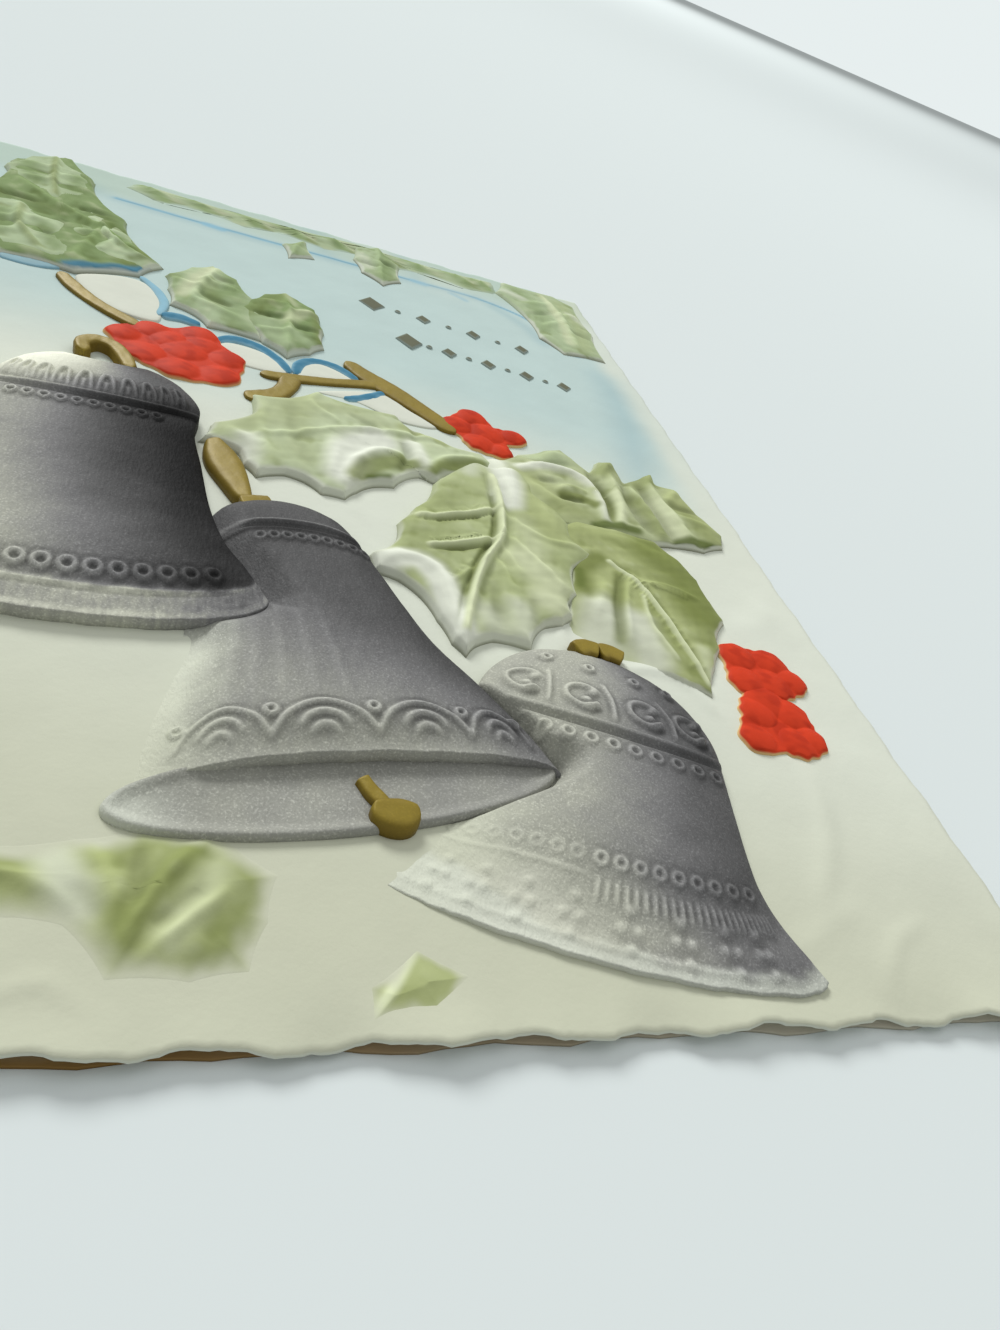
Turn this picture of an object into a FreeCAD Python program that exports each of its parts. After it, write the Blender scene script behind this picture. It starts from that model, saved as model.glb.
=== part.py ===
import FreeCAD, Part
import math
import os

# Greeting card: a deep-embossed front sheet pasted on a flat backing sheet, lying on its back.
# The relief is three bells among holly leaves, with stems and three clusters of berries.
# Millimetres. X runs to the card's right, Y to its top edge, Z up out of the picture.
# The origin is the centre of the flat underside.

# Board
card_width = 102.0
card_height = 140.0
back_sheet = 0.35
paste_gap = 0.25            # paste and air between the sheets
front_sheet = 0.40
paste_inset = 1.6           # how far the paste stops short of the left, right and top edges
near_opening = 3.2          # mean depth to which the sheets stand apart along the near edge
deckle_depth = 0.8          # depth of the torn waves along each edge
deckle_pitch = 9.0          # length of one wave
deckle_step = 2.2           # spacing of the points along a torn edge
deckle_waves = ((0.32, 1.0, 0.0), (0.18, 2.7, 1.0))     # share of the depth, turns in a pitch, phase
corner_turn = 1.9           # phase that the waves gain at each corner
front_phase = 0.4
back_phase = 2.0
paste_wave = 0.55           # how far the paste's near edge swings, as a share of the near opening
paste_turn = 2.4
nick_depth = 1.1            # torn nick in the near edge of the front sheet
nick_width = 1.6
nick_place = 4.0            # distance of the nick from the card's middle

# Relief
grid = 1.0                  # one step of the grid that the relief is drawn on, from the card's centre
root = 0.2                  # how far each raised form reaches into the front sheet
bell_rise = 2.4             # height of a bell at its shoulder
lip_rise = 0.5              # how much more the mouth stands up than the shoulder
mouth_floor = 0.4           # height of the hollow seen inside the open mouth
rim_rise = 1.0              # height of the far rim round that hollow
rim_width = 0.9
band_rise = 0.35            # bands and beads stand this much above the bell
band_flare = 0.14           # how much wider the bell is at a band
bead_radius = 0.62
leaf_rise = 0.9
leaf_step = 0.2             # a leaf stands this much above the one it covers
leaf_bite = 0.17            # depth of the hollow between two spines as a share of their distance
rib_rise = 0.3              # ribs stand this much above their leaf
rib_width = 0.7
vein_width = 0.45
berry_rise = 1.2
stem_rise = 1.0
loop_rise = 1.6
line_rise = 0.25            # border line and the scrolls pressed without ink
line_width = 1.2
lip_drop = 0.6              # how far a lip slopes out between its edge and the sheet
lip_foot = 0.15
lip_share = 0.99            # width of the lip's foot as a share of its edge
under_rise = 0.5            # height of a bell where it passes under its neighbour
bead_root = 0.4             # how far a bead reaches into its bell
left_growth = 1.25          # how much the space over what passes under a form widens upwards
mouth_growth = 1.2
oval_sides = 26             # sides of the mouth's oval
keep_sides = 20             # sides of the oval kept clear round the mouth
round_sides = 8
bead_sides = 6

# Powers of the curves: how soon a line swells, a bell rises to its shoulder and a bead row falls to the side
swell_power = 0.6
shoulder_power = 0.7
fall_power = 1.5

board = back_sheet + paste_gap + front_sheet
up = FreeCAD.Vector(0, 0, 1)


def spot(x, y, z=0.0):
    return FreeCAD.Vector(x * grid, y * grid, z)


def plate(points, thickness):
    return Part.Face(Part.makePolygon(points + points[:1])).extrude(up * thickness)


# Torn edge: a straight line pushed inwards by two waves
def torn_side(start, end, phase):
    along = (end - start).normalize()
    inward = up.cross(along)
    travel_end = (end - start).Length
    count = max(2, round(travel_end / deckle_step))
    points = []
    for index in range(1, count):
        travel = travel_end * index / count
        turn = 2 * math.pi * travel / deckle_pitch + phase
        wave = 0.5 + sum(share * math.sin(turns * turn + shift) for share, turns, shift in deckle_waves)
        points.append(start + along * travel + inward * (deckle_depth * wave))
    return points


def sheet(bottom, thickness, phase):
    right = card_width / 2
    top = card_height / 2
    corners = [FreeCAD.Vector(x, y, bottom)
               for x, y in ((-right, -top), (right, -top), (right, top), (-right, top))]
    points = []
    for index, corner in enumerate(corners):
        points += torn_side(corner, corners[(index + 1) % 4], phase + corner_turn * index)
    return plate(points, thickness)


# Paste: straight on three sides, and uneven behind the near edge
def paste():
    right = card_width / 2 - paste_inset
    top = card_height / 2 - paste_inset
    steps = round(2 * right / deckle_pitch) * 2
    points = [FreeCAD.Vector(right, top, back_sheet), FreeCAD.Vector(-right, top, back_sheet)]
    for index in range(steps + 1):
        depth = near_opening * (1 + paste_wave * math.sin(paste_turn * index))
        x = -right + 2 * right * index / steps
        points.append(FreeCAD.Vector(x, -card_height / 2 + depth, back_sheet))
    return plate(points, paste_gap)


def nick():
    edge = -card_height / 2
    bottom = back_sheet + paste_gap
    left = FreeCAD.Vector(nick_place - nick_width / 2, edge, bottom)
    right = FreeCAD.Vector(nick_place + nick_width / 2, edge, bottom)
    tip = FreeCAD.Vector(nick_place, edge + deckle_depth + nick_depth, bottom)
    return plate([left, right, tip], 2 * front_sheet)


# Half-round profile of a raised line, as shares of its width and height, from side to side
def half_round(facets):
    turns = [math.pi * index / facets for index in range(facets + 1)]
    return [(0.5 * math.cos(turn), math.sin(turn)) for turn in turns]


roof = half_round(2)
round_back = half_round(5)


# Raised line along an arc: the profile is carried from end to end, and swells as the sine of the way
def ridge(start, middle, end, width, top, profile=roof, steps=3, end_share=0.2):
    arc = Part.Arc(spot(*start), spot(*middle), spot(*end)).toShape()
    wires = []
    for index in range(steps + 1):
        way = index / steps
        place = arc.FirstParameter + (arc.LastParameter - arc.FirstParameter) * way
        across = up.cross(arc.tangentAt(place))
        share = end_share + (1 - end_share) * math.sin(math.pi * way) ** swell_power
        height = (top + root) * (1 + share) / 2
        foot = arc.valueAt(place) + up * (board - root)
        points = [foot + across * (side * width * share * grid) + up * (level * height)
                  for side, level in profile]
        wires.append(Part.makePolygon(points + points[:1]))
    return Part.makeLoft(wires, True, True)


# Stud: a round or oval boss that narrows to a small flat top
def stud(x, y, radius_x, radius_y, base, top, sides, levels, lean=0.0):
    turns = [2 * math.pi * (index + 0.5) / sides for index in range(sides)]
    wires = []
    for share, level in levels:
        height = base + (top - base) * level
        points = [spot(radius_x * share * math.cos(turn), radius_y * share * math.sin(turn), height)
                  for turn in turns]
        wires.append(Part.makePolygon(points + points[:1]))
    solid = Part.makeLoft(wires, True, True)
    solid.rotate(FreeCAD.Vector(0, 0, 0), up, lean)
    solid.translate(spot(x, y))
    return solid


bead_levels = [(1.0, 0.0), (0.6, 1.0)]
dome_levels = [(1.0, 0.0), (0.94, 0.6), (0.62, 1.0)]
oval_levels = [(1.0, 0.0), (1.0, 1.0)]
leaf_slopes = [(0.9, 0.75), (0.6, 1.0)]
band_profile = [(0.0, 0.0), (0.3, 1.0), (0.7, 1.0), (1.0, 0.0)]


def berry(x, y, radius):
    return stud(x, y, radius, radius, board - root, board + berry_rise, round_sides, dome_levels)


# Leaf: a hollow of two chords bites in between each pair of spines, and two slopes climb to a flat crown
def leaf_outline(spines, share, height):
    center = FreeCAD.Vector(0, 0, 0)
    for spine in spines:
        center += spot(*spine) * (1 / len(spines))
    corners = [center + (spot(*spine) - center) * share for spine in spines]
    points = []
    for index, corner in enumerate(corners):
        run = corners[(index + 1) % len(corners)] - corner
        points += [corner + up * height, corner + run * 0.5 + up.cross(run) * leaf_bite + up * height]
    return Part.makePolygon(points + points[:1])


def leaf(layer, spines):
    rise = leaf_rise + leaf_step * layer
    wires = [leaf_outline(spines, 1.0, board - root)]
    wires += [leaf_outline(spines, share, board + level * rise) for share, level in leaf_slopes]
    return Part.makeLoft(wires, True, True)


def rib(layer, start, middle, end, width):
    return ridge(start, middle, end, width, leaf_rise + leaf_step * layer + rib_rise)


# Bells: each hangs from its crown at the origin along -Y, then is leaned and set in place.
# Stations are (depth below the crown, radius) and bands (start, end) in depth. The bow is how far the
# bands sag towards the mouth, as a share of the radius, at the crown and at the lip.
left_bell = {"place": (-23.4, 4.6), "lean": 0.0, "bow": (0.12, 0.30), "shoulder": 9.2, "edge": 0.9,
             "bands": [(8.7, 9.9), (33.4, 34.4)],
             "stations": [(0, 1.6), (0.6, 3.4), (1.7, 5.5), (3.8, 7.5), (7.6, 9.2), (12.6, 8.8),
                          (17.6, 9.4), (24.6, 10.2), (29.6, 11.4), (33.0, 13.1), (37.1, 14.8)]}
middle_bell = {"place": (-7.6, -17.8), "lean": 7.5, "bow": (-0.18, -0.24), "shoulder": 7.2, "edge": 0.6,
               "bands": [(5.4, 7.0)],
               "stations": [(0, 1.5), (0.8, 3.6), (2.2, 5.3), (4.2, 6.5), (10.3, 8.0),
                            (14.5, 8.9), (19.7, 10.3), (24.4, 12.6), (29.0, 14.6), (33.0, 16.0)]}
right_bell = {"place": (21.0, -33.9), "lean": -17.0, "bow": (0.08, 0.20), "shoulder": 10.5, "edge": 0.6,
              "bands": [(9.9, 10.8)],
              "stations": [(0, 1.5), (0.9, 3.8), (2.2, 6.3), (4.6, 8.7), (8.2, 10.5), (13.0, 11.1),
                           (20.5, 11.9), (23.3, 12.6), (25.6, 13.8), (27.7, 15.4), (29.2, 16.7)]}


def set_in_place(shape, bell):
    shape.rotate(FreeCAD.Vector(0, 0, 0), up, bell["lean"])
    shape.translate(spot(*bell["place"]))
    return shape


def bow_at(bell, depth):
    crown_bow, lip_bow = bell["bow"]
    return crown_bow + (lip_bow - crown_bow) * depth / bell["stations"][-1][0]


def radius_at(bell, depth):
    for (depth_a, radius_a), (depth_b, radius_b) in zip(bell["stations"], bell["stations"][1:]):
        if depth <= depth_b:
            return radius_a + (radius_b - radius_a) * (depth - depth_a) / (depth_b - depth_a)
    return bell["stations"][-1][1]


def rise_at(bell, radius):
    spread = (radius - bell["shoulder"]) / (bell["stations"][-1][1] - bell["shoulder"])
    return bell_rise * min(1, radius / bell["shoulder"]) ** shoulder_power + lip_rise * max(0, spread)


# Section across a bell: a low wall each side and one arc over the middle. Its plane leans with the bow.
def bell_section(bell, depth, radius, rise, edge):
    bow = bow_at(bell, depth) * radius
    feet = [spot(side * radius, -depth, board - root) for side in (1, -1)]
    middle = spot(0, -depth - bow, board + rise)
    lean = (middle - spot(0, -depth, board - root)) * ((root + edge) / (root + rise))
    edges = [foot + lean for foot in feet]
    return Part.Wire([Part.makeLine(feet[0], edges[0]), Part.Arc(edges[0], middle, edges[1]).toShape(),
                      Part.makeLine(edges[1], feet[1]), Part.makeLine(feet[1], feet[0])])


# Bell: sections from crown to lip that swell at each band. A closed lip has a last low one at the sheet.
def bell_body(bell, closed):
    rows = [(depth, radius, 0.0) for depth, radius in bell["stations"]]
    for start, end in bell["bands"]:
        for way, lift in band_profile:
            depth = start + (end - start) * way
            rows.append((depth, radius_at(bell, depth) + band_flare * lift, band_rise * lift))
    wires = []
    for depth, radius, lift in sorted(rows):
        rise = rise_at(bell, radius) + lift
        wires.append(bell_section(bell, depth, radius, rise, bell["edge"] * min(1, rise / bell_rise)))
    if closed:
        depth, radius = bell["stations"][-1]
        wires.append(bell_section(bell, depth + lip_drop, radius * lip_share, lip_foot, lip_foot / 2))
    return Part.makeLoft(wires, True, True)


# Row of beads round a bell, even in angle as seen round its axis
def bead_row(bell, depth, first, last, count):
    radius = radius_at(bell, depth)
    rise = rise_at(bell, radius)
    beads = []
    for index in range(count):
        turn = math.radians(first + (last - first) * index / (count - 1))
        x = radius * math.sin(turn)
        y = -depth - bow_at(bell, depth) * radius * math.cos(turn)
        level = board + bell["edge"] + (rise - bell["edge"]) * math.cos(turn) ** fall_power
        bead = stud(x, y, bead_radius, bead_radius, level - bead_root, level + band_rise,
                    bead_sides, bead_levels)
        beads.append(set_in_place(bead, bell))
    return beads


# Space kept over whatever passes under a form: its outline widens upwards, and the form below dips to it
def clearance(outline, growth):
    center = FreeCAD.Vector(0, 0, 0)
    for corner in outline:
        center += corner * (1 / len(outline))
    wires = []
    for share, height in ((1.0, board + under_rise), (growth, board + 2 * bell_rise)):
        points = [center + (corner - center) * share + up * height for corner in outline]
        wires.append(Part.makePolygon(points + points[:1]))
    return Part.makeLoft(wires, True, True)


foot_shares = (0.75, 0.4, 0.0, -0.4, -0.75)


def bell_outline(bell):
    right = [spot(radius, -depth) for depth, radius in bell["stations"]]
    left = [spot(-radius, -depth) for depth, radius in bell["stations"]]
    depth, radius = bell["stations"][-1]
    foot = [spot(share * radius, -depth - bow_at(bell, depth) * radius * math.sqrt(1 - share * share))
            for share in foot_shares]
    return right + foot + left[::-1]


# Open mouth of the middle bell: an oval disc with a hollow sunk into it
def mouth_oval(inset, base, top):
    depth, radius = middle_bell["stations"][-1]
    half_height = abs(middle_bell["bow"][1]) * radius
    return stud(0, -depth, radius - inset, half_height - inset, base, top, oval_sides, oval_levels)


def middle_bell_solid():
    rim = mouth_oval(0.0, board - root, board + rim_rise)
    hollow = mouth_oval(rim_width, board + mouth_floor, board + 3 * bell_rise)
    whole = set_in_place(bell_body(middle_bell, False).fuse(rim).cut(hollow), middle_bell)
    return whole.cut(set_in_place(clearance(bell_outline(left_bell), left_growth), left_bell))


def left_bell_solid():
    return set_in_place(bell_body(left_bell, True), left_bell)


def right_bell_solid():
    depth, radius = middle_bell["stations"][-1]
    half_height = abs(middle_bell["bow"][1]) * radius
    turns = [2 * math.pi * index / keep_sides for index in range(keep_sides)]
    oval = [spot(radius * math.cos(turn), -depth + half_height * math.sin(turn)) for turn in turns]
    keep = set_in_place(clearance(oval, mouth_growth), middle_bell)
    return set_in_place(bell_body(right_bell, True), right_bell).cut(keep)


def clapper():
    return [ridge((-2.8, -49.4), (-2.2, -51.3), (-1.3, -53.2), 1.2, mouth_floor + loop_rise, round_back),
            stud(-1.1, -53.6, 1.6, 1.5, board, board + mouth_floor + loop_rise, 10, dome_levels)]


# Gold fittings at the crowns: an open ring, a long spindle with its nub, and a double nub
def fittings():
    return [ridge((-26.0, 3.6), (-25.9, 8.6), (-21.0, 3.6), 1.7, loop_rise, round_back, 8, 0.8),
            ridge((-13.1, -7.4), (-11.0, -13.0), (-9.7, -18.4), 3.1, loop_rise, round_back, 8, 0.3),
            stud(-9.2, -18.6, 1.4, 1.0, board, board + loop_rise, 8, dome_levels, 20.0),
            stud(19.9, -33.3, 1.3, 1.3, board, board + loop_rise, 8, dome_levels),
            stud(22.1, -33.4, 1.2, 1.3, board, board + loop_rise, 8, dome_levels)]


def stems():
    return [ridge((-30.0, 26.2), (-26.6, 20.6), (-20.5, 16.0), 1.8, stem_rise, round_back),
            ridge((-7.2, 11.0), (-0.5, 12.2), (8.2, 14.6), 1.6, stem_rise, round_back),
            ridge((-4.2, 11.0), (-5.6, 7.2), (-9.4, 4.0), 1.9, stem_rise, round_back),
            ridge((3.2, 19.6), (9.0, 13.4), (15.0, 6.4), 2.9, stem_rise, round_back)]


def berries():
    places = [(-22.4, 13.6, 1.7), (-19.4, 16.1, 1.9), (-14.2, 17.6, 2.1), (-11.2, 12.6, 1.9),
              (-15.8, 12.6, 2.3), (-20.0, 9.9, 2.1), (-16.4, 7.6, 2.0), (-12.0, 8.0, 1.9),
              (18.6, 11.8, 2.0), (15.8, 8.6, 1.9), (19.6, 7.9, 2.2), (23.3, 8.3, 1.8), (18.0, 5.0, 1.8),
              (20.6, 3.8, 1.6),
              (38.2, -30.4, 2.0), (42.0, -30.8, 2.0), (43.4, -33.6, 1.7), (37.6, -34.4, 2.1),
              (40.6, -36.4, 2.1), (36.6, -38.6, 1.9), (40.2, -40.2, 1.9), (34.8, -42.6, 1.8),
              (39.2, -42.8, 1.9)]
    return [berry(x, y, radius) for x, y, radius in places]


# Spines of each leaf in order anticlockwise, after the number of leaves below it
def leaves():
    return [
        leaf(0, [(-33, 71), (-40, 62), (-41, 50), (-43, 41), (-40, 31), (-36.5, 27.5), (-28.5, 27.2),
                 (-21.5, 31), (-18.8, 35.8), (-22.5, 41.5), (-24, 49), (-27.5, 54), (-29, 62)]),
        leaf(0, [(-13.3, 40.4), (-19, 36.5), (-20.5, 30.5), (-16.5, 24.2), (-8.5, 24.6), (-7.2, 31),
                 (-9.3, 36.8)]),
        leaf(1, [(-3.8, 36.8), (-7.6, 31.8), (-9.5, 24.5), (-4, 16.6), (0.8, 20.5), (1, 27.5),
                 (0.2, 33.2)]),
        leaf(0, [(22.5, 5.5), (20, 0), (25, -9), (30.5, -10.6), (31.5, -4), (29.5, 2)]),
        leaf(1, [(36.5, 6.8), (31.5, 1.5), (30.5, -9.5), (36, -10.6), (38.5, -3)]),
        leaf(0, [(42.5, 6.8), (38, 1), (37.4, -10.8), (46.6, -9.4), (45.8, -2), (45, 4)]),
        leaf(1, [(-2, 9.4), (-10.5, 3.2), (-13.5, -3), (-14.5, -8.6), (-9, -12), (-1.6, -13.6), (5.5, -8.6),
                 (8.5, -3.4), (15.5, 0), (11.5, 4.4), (3.4, 8.8)]),
        leaf(0, [(26, -8.5), (24.5, -17), (21.5, -25.6), (23.5, -31.6), (32, -37), (35.8, -29.6),
                 (38.8, -25), (38.8, -16), (36.6, -11), (31, -9.6)]),
        leaf(2, [(17, -2.6), (8, -8), (4.2, -16), (1.2, -22.4), (2, -26.2), (7.8, -35.6), (14.3, -33.8),
                 (20, -28.6), (22, -20.4), (25.6, -16), (24.4, -9.4)]),
        leaf(0, [(-13, -54.5), (-23.5, -55.6), (-27, -58), (-21, -60.6), (-18.5, -65.4), (-10.6, -65.2),
                 (-9, -58.4)]),
        leaf(0, [(-1, -63.4), (-4.4, -66), (-4.6, -69), (0.2, -68.8), (2.7, -65.4)]),
        leaf(0, [(1.4, 62), (-2.6, 58), (-2, 52.4), (2.2, 55)]),
        leaf(0, [(14, 72), (9.2, 68), (8.6, 60), (9.4, 55), (12.4, 51.4), (15.8, 55), (16.6, 62)]),
        leaf(0, [(36, 72), (33.5, 63), (37, 54), (37.4, 46.6), (40.4, 42), (48.2, 43), (50, 54),
                 (49.6, 66), (46, 72)]),
    ]


def ribs():
    return [rib(0, (-33.6, 62), (-32.6, 48), (-33.4, 31), rib_width),
            rib(0, (-10.6, 36), (-13.6, 31.5), (-15.4, 25.6), vein_width),
            rib(1, (-3.4, 33.4), (-3.6, 26), (-4.2, 19.4), vein_width),
            rib(1, (12.4, 2.6), (2.2, 0.8), (-12, -7.2), rib_width),
            rib(1, (-1.2, 7.4), (0.6, -3), (-1.6, -11.6), vein_width),
            rib(2, (17.2, -3.8), (15.6, -16.6), (8.2, -33.6), rib_width),
            rib(2, (16.4, -11.6), (12.2, -14.4), (5.6, -16.2), vein_width),
            rib(2, (14.4, -18.4), (9.6, -20.6), (3.4, -22.2), vein_width),
            rib(2, (16.2, -13.2), (19.2, -16.8), (23.2, -16), vein_width),
            rib(2, (14.2, -19.2), (17.2, -24.4), (18.8, -28), vein_width),
            rib(0, (27.4, -17.6), (30.8, -26), (31.9, -36), rib_width),
            rib(0, (28.4, -20), (25.6, -24.6), (24, -31), vein_width),
            rib(0, (-13.2, -55.6), (-15.6, -59.4), (-18.2, -64.4), rib_width),
            rib(0, (42.6, 68), (44.4, 56), (43.6, 45), rib_width)]


# Border of the sky and the scrolls pressed without ink
def lines():
    return [ridge((-26, 57.6), (0, 57.8), (27, 57.4), line_width, line_rise, roof, 8, 0.8),
            ridge((27, 57.4), (30.6, 54.6), (34, 49.6), line_width, line_rise),
            ridge((38.8, -47), (36.4, -54), (31.6, -61), line_width, line_rise),
            ridge((40, -62.6), (36.6, -64.6), (33.4, -68), line_width, line_rise),
            ridge((-24.4, -66.4), (-21.4, -65.6), (-18, -68.4), line_width, line_rise)]


def bands_of_beads():
    return (bead_row(left_bell, 11.0, -62, 52, 9) + bead_row(left_bell, 32.0, -62, 58, 11)
            + bead_row(middle_bell, 8.2, -40, 62, 8) + bead_row(right_bell, 12.4, -56, 62, 9)
            + bead_row(right_bell, 23.4, -48, 40, 11) + bead_row(right_bell, 27.2, -24, 40, 6))


def inside(form):
    box = form.BoundBox
    return (max(-box.XMin, box.XMax) < card_width / 2 - deckle_depth
            and max(-box.YMin, box.YMax) < card_height / 2 - deckle_depth)


def card():
    blank = sheet(0, board + 3 * bell_rise, front_phase)
    relief = [left_bell_solid(), middle_bell_solid(), right_bell_solid()]
    relief += fittings() + clapper() + stems() + berries() + leaves() + ribs() + lines() + bands_of_beads()
    relief = [form if inside(form) else form.common(blank) for form in relief]
    front = sheet(back_sheet + paste_gap, front_sheet, front_phase).cut(nick())
    return sheet(0, back_sheet, back_phase).multiFuse([paste(), front] + relief)


os.makedirs("parts", exist_ok=True)
card().exportStep("parts/card.step")
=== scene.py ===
import math
import bpy
import numpy as np
from mathutils import Matrix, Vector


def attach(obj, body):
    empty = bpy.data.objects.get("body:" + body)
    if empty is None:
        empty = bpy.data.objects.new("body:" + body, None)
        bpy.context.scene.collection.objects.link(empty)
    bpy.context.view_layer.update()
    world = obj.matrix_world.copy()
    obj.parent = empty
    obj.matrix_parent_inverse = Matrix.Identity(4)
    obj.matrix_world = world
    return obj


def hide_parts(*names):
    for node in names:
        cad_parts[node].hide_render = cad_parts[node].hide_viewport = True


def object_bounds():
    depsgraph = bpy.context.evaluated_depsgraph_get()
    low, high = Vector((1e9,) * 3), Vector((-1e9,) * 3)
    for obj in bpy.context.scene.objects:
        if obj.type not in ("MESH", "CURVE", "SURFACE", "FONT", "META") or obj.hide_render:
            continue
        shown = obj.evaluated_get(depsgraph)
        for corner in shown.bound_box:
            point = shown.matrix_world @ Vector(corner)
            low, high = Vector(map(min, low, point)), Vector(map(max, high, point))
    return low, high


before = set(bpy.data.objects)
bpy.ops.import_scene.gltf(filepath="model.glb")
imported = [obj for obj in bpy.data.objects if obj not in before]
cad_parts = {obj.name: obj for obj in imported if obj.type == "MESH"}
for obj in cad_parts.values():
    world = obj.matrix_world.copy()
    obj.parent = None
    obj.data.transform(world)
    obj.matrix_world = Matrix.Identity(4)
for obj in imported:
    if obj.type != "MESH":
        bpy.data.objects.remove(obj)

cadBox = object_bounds()
mm = 0.001
print("frame loaded, card box", cadBox)

# The sheets of the card, in millimetres. The relief is drawn in millimetres from the card's centre.
card = {"width": round((cadBox[1][0] - cadBox[0][0]) / mm),
        "height": round((cadBox[1][1] - cadBox[0][1]) / mm), "backSheet": 0.35, "gap": 0.25,
        "frontSheet": 0.40, "deckleDepth": 0.8, "deckleWave": 9.0, "deckleReach": 6.0, "fibre": 0.06,
        "liftReach": 2.2, "edgeBand": 1.5, "edgeOut": 0.12, "turnIn": 0.97, "step": 0.48, "backStep": 1.6}
backTop = card["backSheet"]
frontFoot = backTop + card["gap"]
face = frontFoot + card["frontSheet"]
sunk = 0.25  # how deep the foot of each raised piece sits in the sheet


def toLight(value):  # a printed value, 0 to 255, as light
    value = np.asarray(value, float) / 255
    return np.where(value <= 0.04045, value / 12.92, ((value + 0.055) / 1.055) ** 2.4)


def linear(red, green, blue):
    return toLight([red, green, blue])


inks = {"cream": linear(212, 217, 203), "creamShaded": linear(194, 197, 175), "sky": linear(184, 203, 199),
        "skyDeep": linear(146, 176, 182), "white": linear(210, 214, 200), "blue": linear(70, 124, 150),
        "bluePale": linear(140, 182, 198), "green": linear(166, 176, 130), "greenDark": linear(116, 126, 70),
        "greenPale": linear(196, 203, 168), "greenDeep": linear(84, 98, 42),
        "greenCool": linear(126, 146, 98), "greenCoolPale": linear(166, 182, 146),
        "greenMid": linear(162, 171, 120), "leafPale": linear(182, 193, 158),
        "leafSoft": linear(172, 181, 141), "gold": linear(138, 120, 40), "goldDark": linear(116, 97, 34),
        "red": linear(200, 60, 32), "redDark": linear(168, 44, 22), "redEdge": linear(216, 186, 130),
        "paste": linear(128, 100, 56), "line": linear(104, 106, 88), "footShadeAndLine": linear(120, 122, 100)}


# Formulas on whole arrays

def smooth(low, high, value):  # eased step from 0 at low to 1 at high
    share = np.clip((value - low) / (high - low), 0, 1)
    return share * share * (3 - 2 * share)


def curve(points, count):  # one smooth line through its points: each three in a row carry a parabola
    points = np.asarray(points, float)
    if len(points) == 2:
        way = np.linspace(0, 1, count)[:, None]
        return points[0] * (1 - way) + points[1] * way
    before = 2 * points[0] - points[1]
    after = 2 * points[-1] - points[-2]
    knots = np.vstack([before, points, after])
    pieces = []
    for index in range(1, len(knots) - 2):
        a, b, c, d = knots[index - 1:index + 3]
        t = np.linspace(0, 1, count, endpoint=index == len(knots) - 3)[:, None]
        pieces.append(0.5 * (2 * b + (c - a) * t + (2 * a - 5 * b + 4 * c - d) * t ** 2
                             + (3 * b - a - 3 * c + d) * t ** 3))
    return np.vstack(pieces)


def toLine(x, y, line):  # distance to a line, how far along it (0 to 1), and which side
    shape = x.shape
    px = x.ravel()[:, None]
    py = y.ravel()[:, None]
    ax, ay = line[:-1, 0], line[:-1, 1]
    dx, dy = line[1:, 0] - ax, line[1:, 1] - ay
    length = np.maximum(dx * dx + dy * dy, 1e-12)
    t = np.clip(((px - ax) * dx + (py - ay) * dy) / length, 0, 1)
    gap = np.hypot(px - ax - t * dx, py - ay - t * dy)
    best = gap.argmin(1)
    row = np.arange(len(best))
    travel = np.concatenate([[0], np.cumsum(np.sqrt(length))])
    along = (travel[best] + t[row, best] * np.sqrt(length)[best]) / travel[-1]
    side = np.sign(dx[best] * (py[:, 0] - ay[best]) - dy[best] * (px[:, 0] - ax[best]))
    return gap[row, best].reshape(shape), along.reshape(shape), side.reshape(shape)


def swell(along):  # 0 at both ends of a line, full in its middle
    return np.sqrt(np.clip(np.sin(math.pi * np.clip(along, 0, 1)), 0, 1))


def fade(colour, name, share):  # an ink laid over a colour
    return colour + (inks[name] - colour) * share[..., None]


def waves(x, y, scale, seed, octaves=3):  # soft unevenness: sines of turned directions added up
    draw = np.random.default_rng(seed)
    total = np.zeros_like(x)
    for octave in range(octaves):
        for _ in range(4):
            turn, phase = draw.uniform(0, 2 * math.pi, 2)
            size = scale / 1.9 ** octave * draw.uniform(0.8, 1.25)
            way = x * math.cos(turn) + y * math.sin(turn)
            total += np.sin(2 * math.pi * way / size + phase) / 1.7 ** octave
    return total / 6


def near(x, y, line, reach):  # the points that a stroke along a line can touch
    low, high = line.min(0) - reach, line.max(0) + reach
    return (x > low[0]) & (x < high[0]) & (y > low[1]) & (y < high[1])


# Paint: each stroke is (points, width, softness, ink, strength), laid on in order
def paint(x, y, colour, strokes):
    colour = np.array(colour)
    for points, width, softness, name, strength in strokes:
        line = curve(points, 8)
        spots = near(x, y, line, (width + softness) / 2)
        gap, _, _ = toLine(x[spots], y[spots], line)
        cover = strength * (1 - smooth((width - softness) / 2, (width + softness) / 2, gap))
        colour[spots] += (inks[name] - colour[spots]) * cover[:, None]
    return colour


# Relief strokes: each is (points, width, height); a height below zero presses a groove
def press(x, y, height, strokes):
    height = np.array(height)
    for points, width, rise in strokes:
        line = curve(points, 8)
        spots = near(x, y, line, 1.3 * width)
        gap, along, _ = toLine(x[spots], y[spots], line)
        height[spots] += rise * np.exp(-(gap / (0.5 * width)) ** 2) * (0.35 + 0.65 * swell(along))
    return height


# Rings: each is (x, y, radius, width, height), a small circle raised or pressed
def rings(x, y, height, circles):
    height = np.array(height)
    for ringX, ringY, radius, width, rise in circles:
        spots = (abs(x - ringX) < radius + 2 * width) & (abs(y - ringY) < radius + 2 * width)
        gap = np.hypot(x[spots] - ringX, y[spots] - ringY) - radius
        height[spots] += rise * np.exp(-(gap / (0.5 * width)) ** 2)
    return height


# Meshes

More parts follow.
